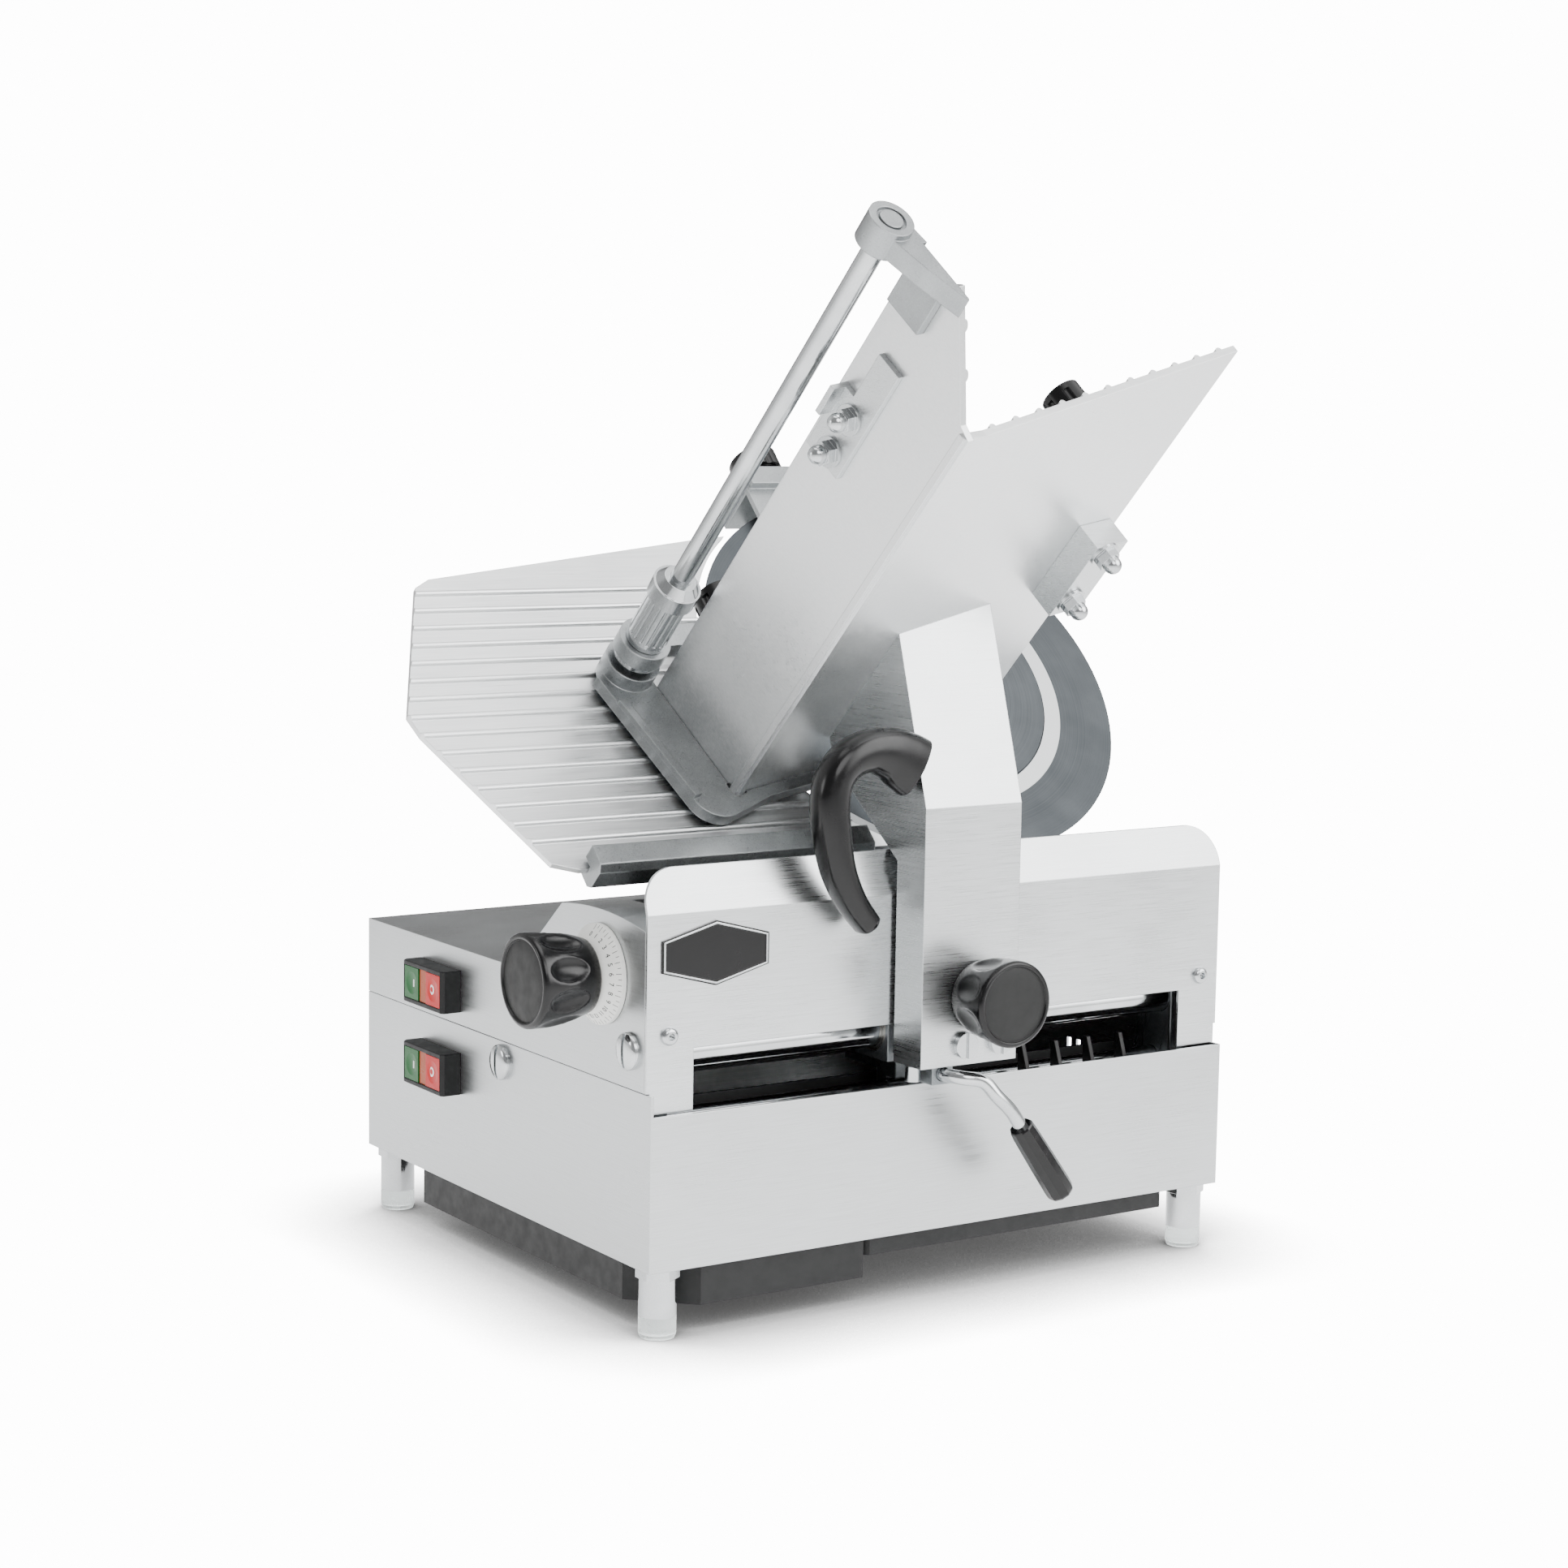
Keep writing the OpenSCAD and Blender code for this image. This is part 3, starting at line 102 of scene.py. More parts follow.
def make_studio():
    """White cove: floor and surround meet without a seam, with a painted shadow on the floor under the
    machine and a painted pool of light around it, and the light falls off on the control side.
    """
    size = 14.0
    # strength that shows as plain white, and the share of it left as painted shadow where the machine closes
    # off the floor
    white = 14.0
    painted_shadow_share = 0.07
    mesh = bpy.data.meshes.new("floor")
    corners = [(-size, -size, 0), (size, -size, 0), (size, size, 0), (-size, size, 0)]
    mesh.from_pydata(corners, [], [(0, 1, 2, 3)])
    floor = bpy.data.objects.new("floor", mesh)
    bpy.context.scene.collection.objects.link(floor)
    paint = bpy.data.materials.new("pale_floor")
    paint.use_nodes = True
    tree = paint.node_tree
    shader = tree.nodes["Principled BSDF"]
    shader.inputs["Base Color"].default_value = linear("#fbfbfb")
    shader.inputs["Roughness"].default_value = 0.9
    # the table top under the machine glows brighter than the far floor: a painted pool of light, an emission
    # that the machine takes up in its lighting and reflections
    here = add(tree, "TexCoord").outputs["Object"]
    away = add(tree, "VectorMath", {0: here, 1: tuple(MIDDLE)}, operation="DISTANCE").outputs["Value"]
    painted_light_pool = add(tree, "MapRange", {"Value": away, "From Min": 0.5, "From Max": 2.2,
                                  "To Min": 1.1, "To Max": 0.0},
               interpolation_type="SMOOTHSTEP").outputs["Result"]
    shader.inputs["Emission Color"].default_value = linear("#ffffff")
    tree.links.new(painted_light_pool, shader.inputs["Emission Strength"])
    # seen directly, the floor is an emission standing in for a lit cove, with a painted shadow: it darkens
    # softly, by ambient occlusion, where the machine covers it
    near = add(tree, "AmbientOcclusion", {"Distance": 0.11}, samples=8).outputs["AO"]
    lift = add(tree, "Math", {0: white / painted_shadow_share, 1: near}, operation="POWER").outputs["Value"]
    cove_glow_with_painted_shadow = add(tree, "Math", {0: lift, 1: painted_shadow_share}, operation="MULTIPLY").outputs["Value"]
    painted_cove_light = add(tree, "Emission", {"Strength": cove_glow_with_painted_shadow, "Color": linear("#ffffff")}).outputs["Emission"]
    seen = add(tree, "LightPath").outputs["Is Camera Ray"]
    both = add(tree, "MixShader", {0: seen, 1: shader.outputs["BSDF"], 2: painted_cove_light}).outputs["Shader"]
    tree.links.new(both, tree.nodes["Material Output"].inputs["Surface"])
    mesh.materials.append(paint)

    world = bpy.data.worlds.new("studio")
    bpy.context.scene.world = world
    world.use_nodes = True
    tree = world.node_tree
    where = add(tree, "TexCoord").outputs["Generated"]
    level = add(tree, "Value").outputs["Value"]
    level.default_value = 0.80
    # broad panels, white or black: direction, outer and inner half angle in degrees, gain
    panels = [((0.755, 0.547, 0.47), 32, 10, 7.0),
              ((0.15, 0.50, 0.85), 46, 15, 1.5),
              ((-0.828, 0.547, 0.15), 45, 15, -0.50),
              ((-0.75, -0.62, 0.15), 40, 15, 0.25),
              ((0.35, -0.90, 0.30), 50, 20, -0.35)]
    for way, outer, inner, gain in panels:
        along = add(tree, "VectorMath", {0: where, 1: tuple(Vector(way).normalized())},
                    operation="DOT_PRODUCT")
        lobe = add(tree, "MapRange", {"Value": along.outputs["Value"],
                                      "From Min": math.cos(math.radians(outer)),
                                      "From Max": math.cos(math.radians(inner)),
                                      "To Min": 0.0, "To Max": gain},
                   interpolation_type="SMOOTHSTEP").outputs["Result"]
        level = add(tree, "Math", {0: level, 1: lobe}, operation="ADD").outputs["Value"]
    seen = add(tree, "LightPath").outputs["Is Camera Ray"]
    power = add(tree, "Mix", {"Factor": seen, 2: level, 3: white}).outputs[0]
    back = tree.nodes["Background"]
    back.inputs["Color"].default_value = linear("#ffffff")
    tree.links.new(power, back.inputs["Strength"])

    # name, place and target from the middle of the base, width in metres, watts
    lights = [("softbox_right", (2.4, -0.7, 1.9), (0.1, 0, 0.25), 1.6, 30),
              ("softbox_top", (0.2, -0.3, 2.6), (0, 0, 0.2), 1.8, 22),
              ("strip_front", (-0.9, -2.6, 1.0), (0, -0.2, 0.2), 0.9, 9)]
    for name, place, target, width, watts in lights:
        data = bpy.data.lights.new(name, "AREA")
        data.shape = "DISK"
        data.size = width
        data.energy = watts
        light = bpy.data.objects.new(name, data)
        bpy.context.scene.collection.objects.link(light)
        way = Vector(target) - Vector(place)
        light.matrix_world = (Matrix.Translation(MIDDLE + Vector(place))
                              @ way.to_track_quat("-Z", "Y").to_matrix().to_4x4())


make_studio()


# ---------- finishes ----------
def new_finish(name, colour, metallic, roughness, **sockets):
    """A material whose constants sit on the shader; returns it with its tree and shader."""
    made = bpy.data.materials.new(name)
    made.use_nodes = True
    made.diffuse_color = linear(colour)
    shader = made.node_tree.nodes["Principled BSDF"]
    shader.inputs["Base Color"].default_value = linear(colour)
    shader.inputs["Metallic"].default_value = metallic
    shader.inputs["Roughness"].default_value = roughness
    for key, value in sockets.items():
        shader.inputs[key.replace("_", " ")].default_value = value
    return made, made.node_tree, shader


def spread(tree, socket, low, high):
    """A noise pattern, which keeps mostly between 0.3 and 0.7, spread over low to high."""
    return add(tree, "MapRange", {"Value": socket, "From Min": 0.3, "From Max": 0.7,
                                  "To Min": low, "To Max": high}).outputs["Result"]


def grain(tree, scale, detail=3.0, vector=None, rough=0.55):
    """Fractal noise over the object's own coordinates; scale is features per metre."""
    where = vector or add(tree, "TexCoord").outputs["Object"]
    return add(tree, "TexNoise", {"Vector": where, "Scale": scale, "Detail": detail,
                                  "Roughness": rough}).outputs["Fac"]


def edge_mask(tree, radius):
    """1 along outer and inner edges, where handling rubs the surface, 0 on open faces."""
    soft = add(tree, "Bevel", {"Radius": radius}, samples=4).outputs["Normal"]
    flat = add(tree, "NewGeometry").outputs["Normal"]
    same = add(tree, "VectorMath", {0: soft, 1: flat}, operation="DOT_PRODUCT").outputs["Value"]
    return add(tree, "MapRange", {"Value": same, "From Min": 0.995, "From Max": 0.85,
                                  "To Min": 0.0, "To Max": 1.0}).outputs["Result"]


def coloured(tree, shader, factor, dark, light):
    """Base colour that goes from dark to light with factor."""
    mix = add(tree, "Mix", {"Factor": factor, 6: linear(dark), 7: linear(light)}, data_type="RGBA")
    tree.links.new(mix.outputs[2], shader.inputs["Base Color"])


def bumped(tree, shader, height, depth, strength=1.0, normal=None):
    """Relief of the given depth from a height pattern."""
    inputs = {"Height": height, "Distance": depth, "Strength": strength}
    if normal:
        inputs["Normal"] = normal
    tree.links.new(add(tree, "Bump", inputs).outputs["Normal"], shader.inputs["Normal"])


def brushed(name, dark, light, roughness, line_mm, lean=None, edge_mm=0.8):
    """Sheet metal drawn along its length with an abrasive belt: fine parallel lines, a few long
    cloudy smears from wiping, and bright rubbed edges. 180 grit leaves lines 0.08 mm apart, too
    fine to show, so they are drawn line_mm apart."""
    made, tree, shader = new_finish(name, light, 1.0, roughness)
    here = add(tree, "TexCoord")
    if lean:
        here_at = add(tree, "VectorRotate", {"Vector": here.outputs["Object"], "Angle": lean},
                      rotation_type="Y_AXIS").outputs["Vector"]
    else:
        here_at = here.outputs["Object"]
    fine = 1 / (line_mm * MM)
    # each line is sixty times as long as it is wide
    stretch = 1 / 60
    lines = []
    for scale in ((1, stretch, 1), (stretch, 1, 1)):
        pulled = add(tree, "Mapping", {"Vector": here_at, "Scale": scale})
        lines.append(grain(tree, fine, 2.0, pulled.outputs["Vector"], 0.6))
    facing = add(tree, "SeparateXYZ", {0: here.outputs["Normal"]}).outputs["Y"]
    front = add(tree, "Math", {0: facing}, operation="ABSOLUTE").outputs["Value"]
    brush = add(tree, "Mix", {"Factor": front, 2: lines[0], 3: lines[1]}).outputs[0]
    smear = grain(tree, 1 / (70 * MM), 2.0)
    rough = add(tree, "Math", {0: spread(tree, brush, roughness - 0.06, roughness + 0.07),
                               1: spread(tree, smear, -0.03, 0.04)}, operation="ADD")
    tree.links.new(rough.outputs["Value"], shader.inputs["Roughness"])
    tone = add(tree, "Math", {0: spread(tree, brush, 0.0, 0.7), 1: spread(tree, smear, 0.0, 0.3)},
               operation="ADD")
    worn = add(tree, "Math", {0: tone.outputs["Value"], 1: edge_mask(tree, edge_mm * MM)},
               operation="MAXIMUM")
    coloured(tree, shader, worn.outputs["Value"], dark, light)
    rounded = add(tree, "Bevel", {"Radius": edge_mm * MM}, samples=4).outputs["Normal"]
    bumped(tree, shader, brush, 0.004 * MM, 0.4, rounded)
    return made


def cast(name, dark, light, roughness, grain_mm, depth_mm, edge_mm=1.2):
    """Sand-cast or tumbled alloy: a fine pebbled skin with darker pores and polished edges."""
    made, tree, shader = new_finish(name, light, 1.0, roughness)
    pebble = grain(tree, 1 / (grain_mm * MM), 4.0)
    cloud = grain(tree, 1 / (35 * MM), 2.0)
    tree.links.new(spread(tree, pebble, roughness - 0.08, roughness + 0.10), shader.inputs["Roughness"])
    tone = add(tree, "Math", {0: spread(tree, pebble, 0.0, 0.5), 1: spread(tree, cloud, 0.0, 0.5)},
               operation="ADD")
    worn = add(tree, "Math", {0: tone.outputs["Value"], 1: edge_mask(tree, edge_mm * MM)},
               operation="MAXIMUM")
    coloured(tree, shader, worn.outputs["Value"], dark, light)
    rounded = add(tree, "Bevel", {"Radius": edge_mm * MM}, samples=4).outputs["Normal"]
    bumped(tree, shader, pebble, depth_mm * MM, 0.6, rounded)
    return made


def turned(name, dark, light, roughness, line_mm, centre, axis, band=None):
    """Metal turned or ground on a lathe: rings about the axis. A band of radii can be left brighter."""
    made, tree, shader = new_finish(name, light, 1.0, roughness)
    here = add(tree, "TexCoord").outputs["Object"]
    off = add(tree, "VectorMath", {0: here, 1: tuple(centre)}, operation="SUBTRACT").outputs["Vector"]
    across = add(tree, "VectorMath", {0: off, 1: tuple(axis)}, operation="CROSS_PRODUCT").outputs["Vector"]
    radius = add(tree, "VectorMath", {0: across}, operation="LENGTH").outputs["Value"]
    along = add(tree, "VectorMath", {0: off, 1: tuple(axis)}, operation="DOT_PRODUCT").outputs["Value"]
    at = add(tree, "CombineXYZ", {0: radius, 1: along}).outputs["Vector"]
    rings = grain(tree, 1 / (line_mm * MM), 2.0, at, 0.7)
    smear = grain(tree, 1 / (30 * MM), 2.0)
    rough = add(tree, "Math", {0: spread(tree, rings, roughness - 0.05, roughness + 0.06),
                               1: spread(tree, smear, -0.02, 0.03)}, operation="ADD")
    tree.links.new(rough.outputs["Value"], shader.inputs["Roughness"])
    tone = add(tree, "Math", {0: spread(tree, rings, 0.0, 0.6), 1: spread(tree, smear, 0.0, 0.4)},
               operation="ADD")
    mix = add(tree, "Mix", {"Factor": tone.outputs["Value"], 6: linear(dark), 7: linear(light)},
              data_type="RGBA")
    paint = mix.outputs[2]
    if band:
        inner, outer, shine = band
        wide = (outer - inner) * MM / 2
        off_band = add(tree, "Math", {0: radius, 1: inner * MM + wide},
                       operation="SUBTRACT").outputs["Value"]
        far = add(tree, "Math", {0: off_band}, operation="ABSOLUTE").outputs["Value"]
        inside = add(tree, "Math", {0: far, 1: wide}, operation="LESS_THAN").outputs["Value"]
        paint = add(tree, "Mix", {"Factor": inside, 6: paint, 7: linear(shine)},
                    data_type="RGBA").outputs[2]
    tree.links.new(paint, shader.inputs["Base Color"])
    rounded = add(tree, "Bevel", {"Radius": 0.4 * MM}, samples=4).outputs["Normal"]
    bumped(tree, shader, rings, 0.01 * MM, 0.4, rounded)
    return made


def moulded(name, dark, light, roughness, grain_mm, depth_mm, edge_mm=0.6, **sockets):
    """Moulded plastic: an even colour with a fine tool texture, scuffed a little paler on its edges."""
    made, tree, shader = new_finish(name, dark, 0.0, roughness, IOR=1.53, **sockets)
    skin = grain(tree, 1 / (grain_mm * MM), 3.0)
    scuff = grain(tree, 1 / (9 * MM), 4.0)
    tree.links.new(spread(tree, scuff, roughness - 0.05, roughness + 0.08), shader.inputs["Roughness"])
    rubbed = add(tree, "Math", {0: edge_mask(tree, edge_mm * MM), 1: spread(tree, scuff, 0.1, 0.9)},
                 operation="MULTIPLY")
    coloured(tree, shader, rubbed.outputs["Value"], dark, light)
    rounded = add(tree, "Bevel", {"Radius": edge_mm * MM}, samples=4).outputs["Normal"]
    bumped(tree, shader, skin, depth_mm * MM, 0.5, rounded)
    return made


knife_centre = Vector(joints["knife_spin"]["pos_m"])
feed_way = Vector(joints["knife_spin"]["axis"]).normalized()
feed_angle = math.atan2(feed_way.z, feed_way.x)
# radii in millimetres between which the knife's bevel is ground and shines
BEVEL_BAND = (106.5, 119)

FINISH = {
    # 304 stainless casing sheet, belt brushed
    "stainless_sheet": brushed("stainless_sheet", "#b4b6b7", "#c4c7c8", 0.33, 0.6),
    # heavier stainless plate of the carriage arm and guard, brushed a little brighter
    "stainless_plate": brushed("stainless_plate", "#bfc1c2", "#d0d3d4", 0.30, 0.6),
    # clear anodised aluminium plate, satin
    "anodised_plate": brushed("anodised_plate", "#d9dbdc", "#e7e8e8", 0.34, 0.8, -feed_angle),
    # sand-cast aluminium, tumbled and clear coated
    "cast_aluminium": cast("cast_aluminium", "#85888a", "#a9acad", 0.34, 0.9, 0.03),
    "dull_casting": cast("dull_casting", "#6f7376", "#9b9fa1", 0.45, 0.9, 0.05),
    # hard chrome over steel
    "hard_chrome": cast("hard_chrome", "#a9acae", "#cfd1d2", 0.11, 0.5, 0.003, 0.5),
    # ground knife steel; its dark colours are painted shade, as the blade stands in shadow
    "knife_steel": turned("knife_steel", "#43474a", "#575b5e", 0.38, 0.6, knife_centre, feed_way,
                          (*BEVEL_BAND, "#d4d6d7")),
    "cover_plate": turned("cover_plate", "#474b4e", "#5b5f62", 0.40, 0.8, knife_centre, feed_way),
    # bare machined steel
    "machined_steel": cast("machined_steel", "#8c9093", "#b3b6b8", 0.30, 0.4, 0.01, 0.5),
    # phenolic knobs and grips, pressed in polished tools
    "black_phenolic": moulded("black_phenolic", "#030304", "#0c0d0e", 0.20, 0.5, 0.002,
                              Specular_IOR_Level=0.30),
    "satin_phenolic": moulded("satin_phenolic", "#090a0a", "#141516", 0.5, 0.5, 0.008,
                              Specular_IOR_Level=0.30),
    # black polypropylene trays and liners, spark-eroded texture
    "black_polypropylene": moulded("black_polypropylene", "#090a0b", "#17191a", 0.5, 0.7, 0.03,
                                   Specular_IOR_Level=0.30),
    # tinted polycarbonate button caps and lamp
    "green_lens": moulded("green_lens", "#02541f", "#0f6a31", 0.35, 0.5, 0.004, Specular_IOR_Level=0.25),
    "red_lens": moulded("red_lens", "#b50803", "#c4211a", 0.35, 0.5, 0.004, Specular_IOR_Level=0.25),
    "orange_lens": moulded("orange_lens", "#9a3c05", "#a84c12", 0.30, 0.5, 0.004, Specular_IOR_Level=0.25),
    # printed marks: matt ink on the dial, paint on the buttons
    "black_ink": moulded("black_ink", "#101112", "#1c1d1e", 0.5, 0.6, 0.002, Specular_IOR_Level=0.30),
    "white_paint": moulded("white_paint", "#eeeeee", "#ffffff", 0.4, 0.6, 0.006),
    # turned white acetal, waxy and even
    "white_acetal": moulded("white_acetal", "#e9e9e5", "#f6f6f4", 0.38, 0.5, 0.004),
    # neoprene belts, matt with a cloth grain
    "belt_rubber": moulded("belt_rubber", "#141414", "#2b2b2b", 0.75, 0.6, 0.04),
    # hammered grey enamel of the motors
    "motor_enamel": moulded("motor_enamel", "#4a4f54", "#7c8084", 0.4, 1.2, 0.05),
    # sintered slide bushes, dark with oil
    "oiled_steel": cast("oiled_steel", "#6e6c68", "#a3a19c", 0.32, 0.6, 0.01),
    # soft clear PVC foot pads
    "clear_vinyl": moulded("clear_vinyl", "#dfe5e4", "#f4f7f7", 0.24, 0.8, 0.02,
                           Transmission_Weight=0.75),
}

NODE_FINISH = {
    "stainless_sheet": "base_wrap upper_housing bottom_plate slice_deflector",
    "stainless_plate": "slot_guard arm tray_brackets",
    "anodised_plate": "gauge_plate tray",
    "cast_aluminium": "knife_head tray_flange rod_ear pusher gauge_carrier sharpener",
    "dull_casting": "rod_supports slide_block arm_foot gauge_guide",
    "hard_chrome": ("feet_posts guide_rods pusher_rod pusher_sleeve casing_screws arm_screws "
                    "tray_nuts lever"),
    "knife_steel": "blade",
    "cover_plate": "blade_cover",
    "machined_steel": "blade_shaft knife_bearings motor_pulley drive_pulley idler_pulley cam_shaft",
    "black_phenolic": ("thickness_knob clamp_knob pusher_knob sharpener_knob cover_knob fence_knob "
                       "handle lever_grip"),
    "black_polypropylene": "front_undertray side_undertray slot_liner switch_housings cable_gland",
    "green_lens": "start_button_upper start_button_lower",
    "red_lens": "stop_button_upper stop_button_lower",
    "orange_lens": "switch_lamps",
    "white_acetal": "dial",
    "belt_rubber": "knife_belt carriage_belt",
    "motor_enamel": "knife_motor gearmotor",
    "oiled_steel": "slide_bushes",
    "clear_vinyl": "feet_pads",
}
for finish, names in NODE_FINISH.items():
    for name in names.split():
        mesh = nodes[name].data
        mesh.materials.clear()
        mesh.materials.append(FINISH[finish])


# ---------- building pieces ----------
def piece(name, mesh, body, finishes, sharp=35):
    """Links a mesh as one piece that rides on a body, smooth but for edges sharper than the angle."""
    for finish in finishes:
        mesh.materials.append(FINISH[finish])
    for polygon in mesh.polygons:
        polygon.use_smooth = True
    mesh.set_sharp_from_angle(angle=math.radians(sharp))
    made = bpy.data.objects.new(name, mesh)
    bpy.context.scene.collection.objects.link(made)
    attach(made, body)
    return made


def skin(name, parts, looped=False):
    """Mesh of closed bodies, each a list of rings of points with the same count. A body is capped at
    both ends, or looped so that its last ring meets its first."""
    bm = bmesh.new()
    for rings in parts:
        rows = [[bm.verts.new(point) for point in ring] for ring in rings]
        count = len(rows[0])
        following = rows[1:] + rows[:1] if looped else rows[1:]
        faces = [bm.faces.new((a[i], a[(i + 1) % count], b[(i + 1) % count], b[i]))
                 for a, b in zip(rows, following) for i in range(count)]
        if not looped:
            faces += [bm.faces.new(rows[0][::-1]), bm.faces.new(rows[-1])]
        bmesh.ops.recalc_face_normals(bm, faces=faces)
    mesh = bpy.data.meshes.new(name)
    bm.to_mesh(mesh)
    bm.free()
    return mesh


def facing(centre, axis):
    """Matrix that stands a part drawn along Z on centre, pointing along axis."""
    return Matrix.Translation(centre) @ axis.to_track_quat("Z", "Y").to_matrix().to_4x4()


def circle(radius, height, count):
    """Ring of points about Z."""
    return [Vector((radius * math.cos(2 * math.pi * i / count),
                    radius * math.sin(2 * math.pi * i / count), height)) for i in range(count)]


def through(points, steps):
    """Smooth line through points of any dimension, steps to a span."""
    line = []
    last = len(points) - 1
    for k in range(last):
        near = [points[max(k - 1, 0)], points[k], points[k + 1], points[min(k + 2, last)]]
        for i in range(steps):
            t = i / steps
            line.append([0.5 * (2 * q + (r - p) * t + (2 * p - 5 * q + 4 * r - s) * t * t
                                + (3 * q - p - 3 * r + s) * t ** 3) for p, q, r, s in zip(*near)])
    line.append(list(points[-1]))
    return line


def tube(line, radius, count=24):
    """Rings of a round bar along a line of points."""
    rings = []
    side = Z_AXIS
    for i, point in enumerate(line):
        way = (line[min(i + 1, len(line) - 1)] - line[max(i - 1, 0)]).normalized()
        side = (side - side.dot(way) * way).normalized()
        other = way.cross(side)
        rings.append([point + radius * (math.cos(a) * side + math.sin(a) * other)
                      for a in (2 * math.pi * k / count for k in range(count))])
    return rings


# ---------- knobs ----------
def fluted_knob(node, body, centre, axis, diameter, length, lobes, stem=None):
    """Pressed phenolic knob: tapers towards the machine, with oval finger scoops behind a plain rim
    and a slightly sunk satin face."""
    radius = diameter / 2
    per_lobe = 16
    count = lobes * per_lobe
    steps = 26
    body_start, body_end = 0.03, 0.92
    # shares of the length and radius: the taper ends at full_at, a scoop is centred on scoop_at
    root_share, full_at = 0.78, 0.72
    scoop_at, scoop_half, scoop_wide, scoop_depth = 0.56, 0.33, 0.80, 0.135

    def taper(z):
        return root_share + (1 - root_share) * math.sin(min(z / full_at, 1) * math.pi / 2)

    heights = [body_start + (body_end - body_start) * k / steps for k in range(steps + 1)]
    rows = [(0.0, 0.74)] + [(z, taper(z)) for z in heights]
    # rolled rim, the groove inside it and the flat face
    rows += [(0.96, 0.995), (0.985, 0.975), (1.0, 0.94), (1.003, 0.90), (0.995, 0.875),
             (0.975, 0.865), (0.968, 0.85), (0.975, 0.82), (0.98, 0.5), (0.98, 0.12)]
    rings = []
    if stem:
        stem_radius, stem_length = stem
        rings += [circle(stem_radius, -stem_length, count), circle(stem_radius, 0.0, count)]
    for z, share in rows:
        ring = []
        for i in range(count):
            across = ((i % per_lobe) / per_lobe * 2 - 1) / scoop_wide
            along = (z - scoop_at) / scoop_half
            scoop = max(0.0, 1 - across * across - along * along)
            reach = radius * share - scoop_depth * radius * scoop ** 0.8
            turn = 2 * math.pi * i / count
            ring.append(Vector((reach * math.cos(turn), reach * math.sin(turn), z * length)))
        rings.append(ring)
    mesh = skin(node + "_fluted", [rings])
    for polygon in mesh.polygons:
        middle = polygon.center
        if middle.z > 0.96 * length and middle.xy.length < 0.86 * radius:
            polygon.material_index = 1
    mesh.transform(facing(centre, axis))
    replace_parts(piece(node + "_fluted", mesh, body, ["black_phenolic", "satin_phenolic"], 42), node)


low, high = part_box("thickness_knob")
dial_at = joints["thickness_turn"]["pos_m"]
fluted_knob("thickness_knob", "thickness_control", Vector((dial_at[0], high.y, dial_at[2])), -Y_AXIS,
            high.x - low.x, high.y - low.y, 9)
low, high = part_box("clamp_knob")
arm_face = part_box("arm")[1].x
knob_root = arm_face + 0.4 * MM
stud_radius = 5 * MM
fluted_knob("clamp_knob", "clamp_knob", Vector((knob_root, (low.y + high.y) / 2, (low.z + high.z) / 2)),
            X_AXIS, high.y - low.y, high.x - knob_root, 8, (stud_radius, arm_face - low.x))


# ---------- carriage handle ----------
def make_handle():
    """Hooked grip moulded in two halves: a broad root on the arm's side that narrows to a free tip."""
    low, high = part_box("handle")
    x = (low.x + high.x) / 2
    arm_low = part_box("arm")[0]
    root = arm_low.y - 0.1 * MM
    # along the stroke and up from the root, then width and thickness, all in millimetres
    spine = [(0, -6, 40, 22), (-9, -1, 38, 23), (-20, 4, 33, 24), (-36, 6, 27, 25), (-51, 1, 24, 25),
             (-61, -10, 23, 25), (-64, -26, 23, 25), (-62, -46, 22, 25), (-57, -68, 20, 24),
             (-47, -88, 18, 22), (-34, -104, 16, 20)]
    top = low.z + 108 * MM
    line = through(spine, 6)
    rings = []
    count = 28
    # the section is a soft rectangle (1 would be an ellipse) with a low ridge along each side
    squareness, ridge = 0.74, 0.07
    for i, (u, v, width, thick) in enumerate(line):
        ahead, behind = line[min(i + 1, len(line) - 1)], line[max(i - 1, 0)]
        way = Vector((0, ahead[0] - behind[0], ahead[1] - behind[1])).normalized()
        out = way.cross(X_AXIS)
        centre = Vector((x, root + u * MM, top + v * MM))
        ring = []
        for k in range(count):
            a = 2 * math.pi * k / count
            c, s = math.cos(a), math.sin(a)
            p = math.copysign(abs(c) ** squareness, c) * width / 2
            q = math.copysign(abs(s) ** squareness, s) * thick / 2 * (1 + ridge * (1 - min(abs(c) * 3, 1)))
            ring.append(centre + out * p * MM + X_AXIS * q * MM)
        rings.append(ring)
    end = rings[-1]
    middle = sum(end, Vector()) / count
    # rounded tip
    for share, push in ((0.86, 1.6), (0.55, 2.6), (0.15, 2.9)):
        rings.append([middle + (point - middle) * share + way * push * MM for point in end])
    mesh = skin("handle_grip", [rings])
    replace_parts(piece("handle_grip", mesh, "carriage", ["black_phenolic"], 50), "handle")


make_handle()


